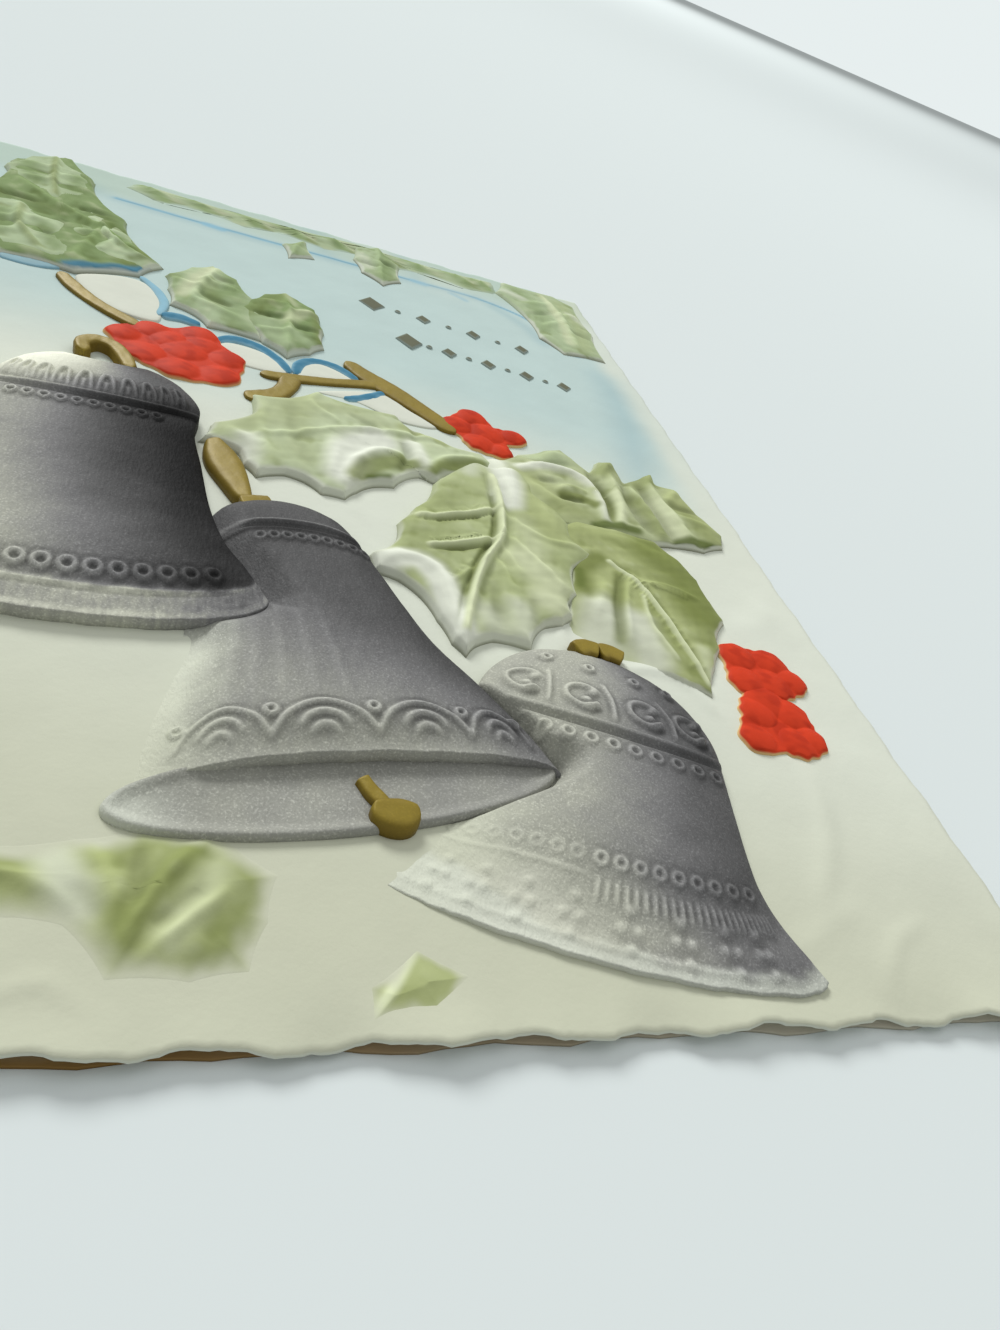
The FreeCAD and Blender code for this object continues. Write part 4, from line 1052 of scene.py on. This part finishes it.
              ([(6.4, -6.4), (7.6, -3.4), (7.4, -0.6)], 1.0, -0.35), ([(-0.6, -2), (-1.4, -10)], 2.0, 0.2),
              ([(8.8, -0.4), (9.2, -5.4)], 1.5, 0.34), ([(10.0, -5.6), (12, -2.8), (16, -1.2)], 1.4, 0.36),
              ([(2, 3.6), (5.6, 0.8)], 1.2, -0.2), ([(-11.6, -5), (-8, -7.4)], 1.4, 0.2)]),
    "leafFront": dict(
        tips=[(20.5, 1.0), (15.5, 0.5), (10, -7.0), (8.5, -11), (6.5, -13.5), (4.6, -16.3), (4.2, -19),
              (2.5, -21.5), (1.0, -22.4), (1.2, -25), (3.4, -25.8), (5.2, -28), (6.2, -31), (7.0, -34),
              (8.0, -35.6), (9.2, -34), (11, -33), (13.6, -33.4), (14.6, -33.8), (15.6, -31.5), (17, -30),
              (19, -29.4), (20.4, -28.2), (20.6, -26), (22, -24.8), (22.3, -22), (23, -20), (25.4, -18),
              (26.2, -17), (24.5, -14), (25, -11.5), (24.4, -9), (23, -5), (22, -2)],
        middle=(15.0, -17.0), layer=2, base="green", fine=10, ringCount=76, bite=0.04, rim=0.7,
        melts=[(18, 0.6, 2.6), (23.6, -6, 1.8)],
        inksOn=[([(8.6, -11.4), (7.0, -15), (7.2, -20)], 5.0, 4.0, "greenDark", 0.32),
                ([(20.6, -20), (18.6, -26)], 3.0, 3.0, "greenDark", 0.3),
                ([(19, -11), (22, -15)], 3.0, 3.0, "greenDark", 0.25),
                ([(12.6, -9), (10.6, -12.4)], 2.6, 2.6, "greenDark", 0.22),
                ([(21.4, -7.6), (22, -14)], 5.0, 4.0, "greenMid", 0.6),
                ([(18.6, -0.4), (18.8, -5), (17.8, -9.4)], 3.6, 2.0, "white", 0.95),
                ([(15.2, -2.4), (14.4, -4.4)], 2.0, 1.8, "white", 0.5),
                ([(17.0, -20.4), (19.4, -24.6)], 4.4, 3.6, "greenPale", 0.8),
                ([(17.6, -26.8), (19.0, -27.6)], 3.4, 2.4, "greenPale", 0.9),
                ([(18.4, -14), (18.8, -18)], 2.6, 2.6, "greenPale", 0.5),
                ([(2.4, -23.9), (5.2, -23.4), (7.0, -25.6), (7.4, -29), (7.9, -33.8)], 3.0, 1.4, "white",
                 0.95),
                ([(10.8, -30), (11.6, -33)], 3.0, 2.6, "white", 0.5),
                ([(14.4, -29), (14.4, -32)], 3.0, 2.4, "white", 0.5),
                ([(4.6, -22.0), (8.0, -23.6), (9.0, -27.4)], 1.2, 1.0, "greenDark", 0.35),
                ([(13.2, -14.0), (9, -16.0)], 0.9, 0.8, "greenDark", 0.45),
                ([(12.4, -19.6), (8, -21.4)], 0.9, 0.8, "greenDark", 0.45),
                # painted shade in the groove beside the midrib
                ([(16.0, -9), (15.2, -14), (13.8, -17.8), (11.6, -22), (9.6, -27)], 0.6, 0.5, "greenDark",
                 0.6),
                (frontRib, 0.8, 0.5, "greenPale", 0.95), (frontVeinA, 0.7, 0.5, "greenPale", 0.75),
                (frontVeinB, 0.7, 0.5, "greenPale", 0.75)],
        ribs=[(frontRib, 0.8, 0.42), ([(x - 0.8, y) for x, y in frontRib], 0.7, -0.32),
              (frontVeinA, 0.7, 0.3), (frontVeinB, 0.7, 0.3), (frontVeinC, 0.6, 0.22),
              ([(x, y - 0.7) for x, y in frontVeinA], 0.6, -0.2),
              ([(x, y - 0.7) for x, y in frontVeinB], 0.6, -0.2),
              ([(x + 1.0, y) for x, y in frontRib], 0.9, -0.14),
              ([(15.6, -16), (18.2, -20.4), (20.2, -24.2)], 1.0, 0.22),
              ([(14.8, -18.4), (16, -23.6)], 0.9, 0.18), ([(16.6, -12.4), (20, -16), (24, -16.4)], 1.0, 0.22),
              ([(13.6, -20.4), (14.6, -26)], 0.8, 0.18),
              ([(2.0, -23.6), (5.2, -23.2), (7.2, -25.4), (7.6, -29), (8, -34)], 1.5, 0.34),
              ([(12.4, -25), (12, -32)], 1.6, -0.22), ([(16.2, -27), (16, -30.6)], 1.4, -0.18),
              ([(19.2, -0.6), (18.8, -9)], 1.8, 0.3), ([(21.6, -8), (22.4, -13.6)], 1.8, 0.16),
              ([(8.4, -12), (6, -17)], 1.8, 0.14)]
             + hatching(frontVeinA, -1, 1.2, 15)
             + hatching(frontVeinA, 1, 0.9, 15)
             + hatching(frontVeinB, -1, 1.2, 15)
             + hatching(frontVeinC, -1, 0.9, 8)),
    "leafLowA": dict(
        tips=[(-12.6, -54.8), (-17, -55.0), (-20.6, -56.0), (-26, -56.6), (-30, -59.6), (-24, -62),
              (-20.8, -62.4), (-18.5, -65.8), (-14, -66), (-10.6, -65.4), (-9.4, -62), (-8.6, -58.4)],
        middle=(-15.6, -60.0), layer=0, base="greenMid", fine=22, ringCount=44, rise=0.5, bite=0.05, soft=1.0,
        inksOn=[([(-24.6, -58.4), (-28, -59.4)], 3.2, 2.6, "greenDark", 0.5),
                ([(-21.6, -57.6), (-20.2, -61)], 2.4, 2.0, "white", 0.6),
                ([(-14.0, -57.4), (-16.0, -60), (-18.0, -63.6)], 2.2, 1.6, "greenDark", 0.7),
                ([(-12.4, -58.6), (-15.0, -63)], 2.0, 2.0, "greenPale", 0.6),
                ([(-10.6, -59), (-11, -62), (-13, -64.4)], 2.8, 2.4, "greenDark", 0.5),
                ([(-18.6, -57.6), (-16.4, -56.4)], 2.2, 1.8, "greenDark", 0.35)],
        ribs=[([(-13.2, -55.8), (-15.6, -59.4), (-18.2, -64.4)], 1.1, 0.3),
              ([(-19.4, -56.6), (-18.4, -60), (-18.6, -64)], 1.2, 0.24),
              ([(-25, -58.6), (-21, -60.6), (-18.8, -64)], 1.2, 0.22),
              ([(-12, -60), (-17, -64.8)], 1.0, 0.24), ([(-17, -57), (-17, -61)], 1.1, -0.22),
              ([(-13.6, -60), (-16, -62.6)], 1.0, -0.2)]),
    "leafLowB": dict(
        tips=[(-1, -63.4), (-4.4, -66), (-4.6, -68.6), (0.2, -68.6), (2.7, -65.4)],
        middle=(-1.2, -66.2), layer=0, base="greenMid", fine=24, ringCount=30, rise=0.5, bite=0.04, soft=1.0,
        softReach=1.2,
        inksOn=[([(1.4, -65), (-0.4, -65.2)], 2.0, 1.8, "greenMid", 0.7),
                ([(0.6, -66.4), (-2.4, -68)], 2.2, 2.0, "greenMid", 0.8),
                ([(-1.2, -63.8), (-2.6, -66), (-4.4, -68.2)], 0.7, 0.6, "greenPale", 0.9)],
        ribs=[([(-1.2, -63.8), (-2.6, -66), (-4.4, -68.2)], 0.8, 0.24),
              ([(-3.2, -65), (-4, -66.6)], 0.9, -0.12)]),
    "leafTopRow": dict(
        tips=[(35, 68.6), (10, 68.8), (-24, 68.6), (-25.5, 64.5), (-21, 61.4), (-14.6, 62.8), (-8, 60.8),
              (-2, 62.6), (4, 60.8), (10, 62.8), (16, 61), (22, 62.6), (28, 60.4), (34, 62)],
        middle=(5.0, 65.6), layer=0, base="greenCoolPale", fine=8, ringCount=16, rise=0.4, bite=0.04,
        soft=0.9, softReach=1.0,
        inksOn=[([(x, 67.2), (x + 3.4, 62.6)], 1.9, 1.6, "greenCool", 0.85) for x in topSteps]
               + [([(x + 2.6, 67.8), (x + 5.0, 64.2)], 1.1, 1.1, "greenPale", 0.8) for x in topSteps]
               + [([(x + 4.4, 63.2), (x + 5.4, 62.4)], 1.0, 0.9, "greenDark", 0.6) for x in topSteps],
        ribs=[([(x, 67.4), (x + 3.8, 62.2)], 1.1, 0.26) for x in topSteps]
             + [([(x + 3.0, 67.6), (x + 6.0, 63.2)], 1.2, -0.24) for x in topSteps]),
    "leafTopA": dict(
        tips=[(1.4, 62), (-2.6, 58), (-2, 52.4), (2.2, 55)],
        middle=(-0.2, 57.2), layer=0, base="greenCoolPale", fine=16, ringCount=16, rise=0.6, bite=0.06,
        inksOn=[([(0.6, 60), (-1, 55)], 2.4, 2.4, "greenCool", 0.5)],
        ribs=[([(0.8, 60.6), (-0.6, 57), (-1.4, 53.6)], 1.0, 0.24)]),
    "leafTopB": dict(
        tips=[(14, 69), (9.2, 66), (8.6, 60), (9.4, 55), (12.4, 51.4), (15.8, 55), (16.6, 62)],
        middle=(12.6, 60.0), layer=0, base="greenCoolPale", fine=14, ringCount=22, rise=0.6, bite=0.06,
        inksOn=[([(14.4, 66), (14, 60), (12.6, 54)], 2.8, 2.6, "greenCool", 0.75),
                ([(10, 62), (10.6, 57)], 1.8, 1.8, "white", 0.4)],
        ribs=[([(13.4, 67), (12.8, 60), (12.2, 53)], 1.1, 0.28), ([(12.8, 61), (15.6, 60)], 1.2, -0.25),
              ([(12.6, 58), (9.6, 59)], 1.2, -0.22)]),
    "leafCorner": dict(
        tips=[(36, 69), (33.5, 63), (37, 54), (37.4, 46.6), (40.4, 42), (48.2, 43), (49.4, 54), (49.4, 66),
              (46, 69)],
        middle=(42.6, 56.0), layer=0, base="greenCoolPale", fine=14, ringCount=30, rise=0.6, bite=0.05,
        inksOn=[([(38, 66), (40, 58), (39, 50)], 3.0, 3.0, "greenCool", 0.45),
                ([(46, 64), (46.6, 54), (45, 46)], 3.6, 3.4, "greenMid", 0.45),
                ([(43, 66), (43.4, 56), (42.4, 46)], 1.4, 1.4, "greenPale", 0.7),
                ([(35.4, 64), (38, 62)], 2.0, 2.0, "white", 0.5),
                ([(46.8, 60), (48.6, 57)], 2.0, 2.0, "white", 0.5)],
        ribs=[([(42.6, 67), (44.2, 56), (43.4, 44.6)], 1.2, 0.3), ([(43, 62), (38, 60)], 1.4, 0.24),
              ([(43.6, 55), (39, 51)], 1.4, 0.24), ([(44, 58), (48, 60)], 1.4, 0.24),
              ([(43, 58.6), (38.6, 56)], 1.4, -0.25), ([(44, 52), (48, 51)], 1.4, -0.25)]),
}


def buildLeaves():
    for name, form in leafForms.items():
        leafPiece(name, **form)


buildLeaves()
print("leaves built")


# Berries: round lumps in one printed field, whose outline is the outer edge of all their circles. Each has
# its place and radius. Foot is the field's height, lump a berry's, and least the outline's least reach.
berryClusters = {"berriesLeft": [(-22.4, 13.6, 1.9), (-19.4, 16.1, 2.0), (-14.2, 17.6, 2.1),
                                 (-11.2, 12.6, 2.2), (-15.8, 12.6, 2.6), (-20.0, 9.9, 2.3), (-16.4, 7.6, 2.3),
                                 (-12.0, 8.0, 2.2), (-17.4, 14.4, 2.2), (-14.0, 14.6, 2.2)],
                 "berriesMiddle": [(18.4, 11.6, 2.0), (15.8, 8.6, 2.0), (19.6, 7.9, 2.3), (23.3, 8.3, 1.8),
                                   (18.0, 5.0, 2.0), (20.6, 3.8, 1.6)],
                 "berriesRightTop": [(38.2, -30.4, 2.1), (42.0, -30.8, 2.0), (43.4, -33.6, 1.8),
                                     (37.6, -34.4, 2.2), (40.6, -34.4, 2.3)],
                 "berriesRightLow": [(38.4, -37.0, 2.3), (36.6, -38.8, 2.0), (40.6, -38.6, 2.1),
                                     (34.8, -42.4, 1.9), (39.2, -42.6, 2.0), (41.2, -42.0, 1.7)]}
berryLook = {"foot": 0.30, "lump": 0.42, "rays": 150, "rings": 46, "least": 0.8}


def clusterOutline(berries, middle):  # how far a ray from the middle stays inside any circle
    turns = np.linspace(0, 2 * math.pi, berryLook["rays"], endpoint=False)
    rayX, rayY = np.cos(turns), np.sin(turns)
    reach = np.full(len(turns), berryLook["least"])
    for x, y, radius in berries:
        along = (x - middle[0]) * rayX + (y - middle[1]) * rayY
        across = (x - middle[0]) * rayY - (y - middle[1]) * rayX
        exitAt = along + np.sqrt(np.clip(radius ** 2 - across ** 2, 0, None))
        reach = np.where(np.abs(across) < radius, np.maximum(reach, exitAt), reach)
    for _ in range(4):  # the print bridges the notches between the circles
        reach = np.maximum(reach, (np.roll(reach, 3) + np.roll(reach, -3)) / 2)
    reach = (np.roll(reach, 1) + 2 * reach + np.roll(reach, -1)) / 4 + 0.1 * np.sin(17 * turns)
    return np.column_stack([middle[0] + reach * rayX, middle[1] + reach * rayY])


def berryPiece(name, berries):
    berries = np.array(berries)
    middle = berries[:, :2].mean(0)

    def surface(x, y, edge):
        height = berryLook["foot"] * shoulder(edge, 0.4)
        lump = np.zeros_like(x)
        for berryX, berryY, radius in berries:
            share = np.hypot(x - berryX, y - berryY) / radius
            lump = np.maximum(lump, berryLook["lump"] * np.clip(1 - share ** 2, 0, None) ** 0.8)
        height = height + lump * np.clip(edge / 0.35, 0, 1)
        colour = np.broadcast_to(inks["red"], (len(x), 3)) * (1 + 0.12 * waves(x, y, 3.0, 81))[:, None]
        colour = fade(colour, "redDark", 0.6 * smooth(0.45, 0.9, 0.5 + waves(x, y, 4.6, 82)))
        return face + height, fade(colour, "redEdge", 1 - smooth(0.03, 0.2, edge))
    patchPiece(name, clusterOutline(berries, middle), middle, berryLook["rings"], surface,
               finishes["red"])


def buildBerries():
    for name, berries in berryClusters.items():
        berryPiece(name, berries)


buildBerries()
print("berries built")


# Windows of bare paper between the stems and leaves, and the blue arcs along them. An arc has its points, its
# width, its ink and the ink of its rims.
windows = {"windowLeft": [(-28.2, 27.0), (-27.0, 23.0), (-23.4, 19.4), (-19.2, 18.8), (-18.6, 22.0),
                          (-19.0, 26.2), (-21.0, 29.6), (-24.2, 29.6)],
           "windowMiddle": [(-12.6, 13.6), (-8.6, 12.2), (-4.8, 12.4), (-4.6, 14.4), (-6.4, 16.6),
                            (-9.0, 17.6), (-11.6, 17.2)],
           "windowRight": [(-3.2, 12.4), (0.2, 13.2), (4.0, 14.0), (2.4, 16.2), (-0.2, 17.4), (-2.4, 16.2)],
           "windowUnder": [(-1.0, 9.6), (3.4, 9.2), (8.6, 6.4), (13.0, 6.8), (10.2, 9.8), (7.2, 12.8),
                           (3.2, 11.8)]}
arcs = {"arcLeft": ([(-21.4, 31.2), (-19.4, 28.0), (-18.4, 24.4), (-18.9, 20.6)], 1.3, "bluePale", "skyDeep"),
        "arcFoot": ([(-18.6, 20.9), (-16.6, 21.5), (-14.2, 20.6)], 2.0, "blue", "bluePale"),
        "arcMiddle": ([(-12.6, 17.0), (-10.4, 18.9), (-7.4, 18.2), (-5.2, 15.6), (-4.1, 12.8)],
                      1.7, "blue", "bluePale"),
        "arcRight": ([(-3.4, 12.8), (-2.6, 16.0), (-0.6, 17.8), (2.0, 17.4), (4.4, 14.8)],
                     1.7, "blue", "bluePale"),
        "strokeUnder": ([(2.0, 9.2), (4.6, 10.6), (7.6, 13.4)], 1.5, "blue", "bluePale"),
        "arcLeaf": ([(-36.6, 27.4), (-32.6, 27.6), (-30.0, 28.4)], 2.0, "skyDeep", "bluePale")}
windowLook = {"foot": 0.10, "swell": 0.14, "rings": 14, "arcRise": 0.20, "arcFoot": 0.12}


def buildWindows():
    for name, points in windows.items():
        loop = np.array(points + points[:3], float)
        outline = curve(loop, 12)[12:-12]
        outline = outline[:-1] if np.allclose(outline[0], outline[-1]) else outline
        outline = outline[::-1] if turnsRight(outline) else outline

        def surface(x, y, edge):
            colour = np.broadcast_to(inks["white"], (len(x), 3)) * (1 + 0.02 * waves(x, y, 5, 91))[:, None]
            height = windowLook["foot"] + windowLook["swell"] * shoulder(edge, 1.2)
            return face + height + 0.03 * waves(x, y, 6, 92), colour
        patchPiece(name, outline, outline.mean(0), windowLook["rings"], surface, finishes["paper"])
    for name, (points, width, inkName, edgeName) in arcs.items():
        ribbonPiece(name, points, width, windowLook["arcRise"], inkName, edgeName, "blue",
                    taper=0.5, lift=windowLook["arcFoot"])


def turnsRight(outline):  # whether a loop runs clockwise
    x, y = outline[:, 0], outline[:, 1]
    return np.sum(x * np.roll(y, -1) - y * np.roll(x, -1)) < 0


buildWindows()
print("windows and arcs built")


# Ornament in the sky: two short rows of lozenges and dots, each with a larger lozenge at its head
ornament = {"rows": (((9.5, 42.6), (32.5, 39.6), 7), ((13.5, 32.0), (36.5, 29.0), 9)), "half": (1.15, 1.5),
            "dot": 0.45, "head": 1.7, "foot": 0.12, "swell": 0.12, "rings": 5}


def buildOrnament():
    for number, (start, end, count) in enumerate(ornament["rows"]):
        for index, way in enumerate(np.linspace(0, 1, count)):
            x = start[0] + (end[0] - start[0]) * way
            y = start[1] + (end[1] - start[1]) * way
            grow = ornament["head"] if index == 0 else 1.0
            if index % 2 == 0:
                halfX, halfY = ornament["half"][0] * grow, ornament["half"][1] * grow
                turns = np.linspace(0, 2 * math.pi, 48, endpoint=False)
                outline = np.column_stack([x + halfX * np.sign(np.cos(turns)) * np.cos(turns) ** 2,
                                           y + halfY * np.sign(np.sin(turns)) * np.sin(turns) ** 2])
            else:
                turns = np.linspace(0, 2 * math.pi, 24, endpoint=False)
                outline = np.column_stack([x + ornament["dot"] * np.cos(turns),
                                           y + ornament["dot"] * np.sin(turns)])

            def surface(px, py, edge):
                plain = np.broadcast_to(inks["line"], (len(px), 3))
                colour = fade(plain, "sky", 0.5 * (1 - smooth(0, 0.3, edge)))
                return face + ornament["foot"] + ornament["swell"] * shoulder(edge, 0.4), colour
            patchPiece(f"ornament{number + 1}_{index + 1}", outline, (x, y), ornament["rings"], surface,
                       finishes["green"])


buildOrnament()
print("ornament built")


# Table, light and the view from low in front, a little to the left. The table and the lamps are in metres.
stage = {"half": 30.0, "colour": (214, 222, 221)}


def buildStage():
    floor = bpy.data.meshes.new("floor")
    half = stage["half"]
    floor.from_pydata([(-half, -half, 0), (half, -half, 0), (half, half, 0), (-half, half, 0)], [],
                      [(0, 1, 2, 3)])
    table = bpy.data.objects.new("floor", floor)
    bpy.context.collection.objects.link(table)
    material = bpy.data.materials.new("tableTop")
    material.use_nodes = True
    shader = material.node_tree.nodes["Principled BSDF"]
    shader.inputs["Base Color"].default_value = (*linear(*stage["colour"]), 1)
    shader.inputs["Roughness"].default_value = 1.0
    shader.inputs["Specular IOR Level"].default_value = 0.0
    floor.materials.append(material)


lamps = {"key": {"place": (-1.98, 6.66, 4.68), "size": 3.1, "power": 565.0},
         "fill": {"place": (0.5, 0.2, 0.9), "size": 0.9, "power": 2.0}}
room = {"light": (0.99, 1.0, 1.0), "strength": 0.48, "seen": (0.80, 0.86, 0.86), "seenStrength": 1.0}


def buildLight():
    scene = bpy.context.scene
    for name, lamp in lamps.items():
        data = bpy.data.lights.new(name, "AREA")
        data.shape = "DISK"
        data.size = lamp["size"]
        data.energy = lamp["power"]
        light = bpy.data.objects.new(name, data)
        bpy.context.collection.objects.link(light)
        back = np.array(lamp["place"]) / np.linalg.norm(lamp["place"])
        right = np.cross([0, 0, 1.0], back)
        right /= np.linalg.norm(right)
        up = np.cross(back, right)
        turn = Matrix([(*axis, 0) for axis in zip(right, up, back)] + [(0, 0, 0, 1)])
        light.matrix_world = Matrix.Translation(lamp["place"]) @ turn
    world = bpy.data.worlds.new("room")
    scene.world = world
    world.use_nodes = True
    nodes, links = world.node_tree.nodes, world.node_tree.links
    sky = nodes["Background"]
    sky.inputs["Color"].default_value = (*room["light"], 1)
    sky.inputs["Strength"].default_value = room["strength"]
    seen = addNode(nodes, "ShaderNodeBackground",  # what the camera sees past the table
                   {"Color": (*room["seen"], 1), "Strength": room["seenStrength"]})
    way = addNode(nodes, "ShaderNodeLightPath")
    mix = addNode(nodes, "ShaderNodeMixShader")
    links.new(way.outputs["Is Camera Ray"], mix.inputs["Fac"])
    links.new(sky.outputs["Background"], mix.inputs[1])
    links.new(seen.outputs["Background"], mix.inputs[2])
    links.new(mix.outputs["Shader"], nodes["World Output"].inputs["Surface"])


# The camera's place in millimetres from the card's centre, its nearest distance in metres, and its three axes
viewpoint = {"place": (-19.81, -94.46, 48.76), "lens": 25.714, "sensor": 36, "nearest": 0.005,
             "right": (0.91936, -0.21781, 0.32761), "up": (-0.10755, 0.66188, 0.74186),
             "back": (-0.37842, -0.71727, 0.58508)}


def buildCamera():
    data = bpy.data.cameras.new("camera")
    data.lens = viewpoint["lens"]
    data.sensor_width = viewpoint["sensor"]
    data.clip_start = viewpoint["nearest"]
    camera = bpy.data.objects.new("camera", data)
    bpy.context.collection.objects.link(camera)
    axes = zip(viewpoint["right"], viewpoint["up"], viewpoint["back"])
    turn = Matrix([(*axis, 0) for axis in axes] + [(0, 0, 0, 1)])
    camera.matrix_world = Matrix.Translation([value * mm for value in viewpoint["place"]]) @ turn
    bpy.context.scene.camera = camera


buildStage()
buildLight()
buildCamera()
bpy.context.scene.view_settings.view_transform = "Standard"
print("stage, light and camera ready")
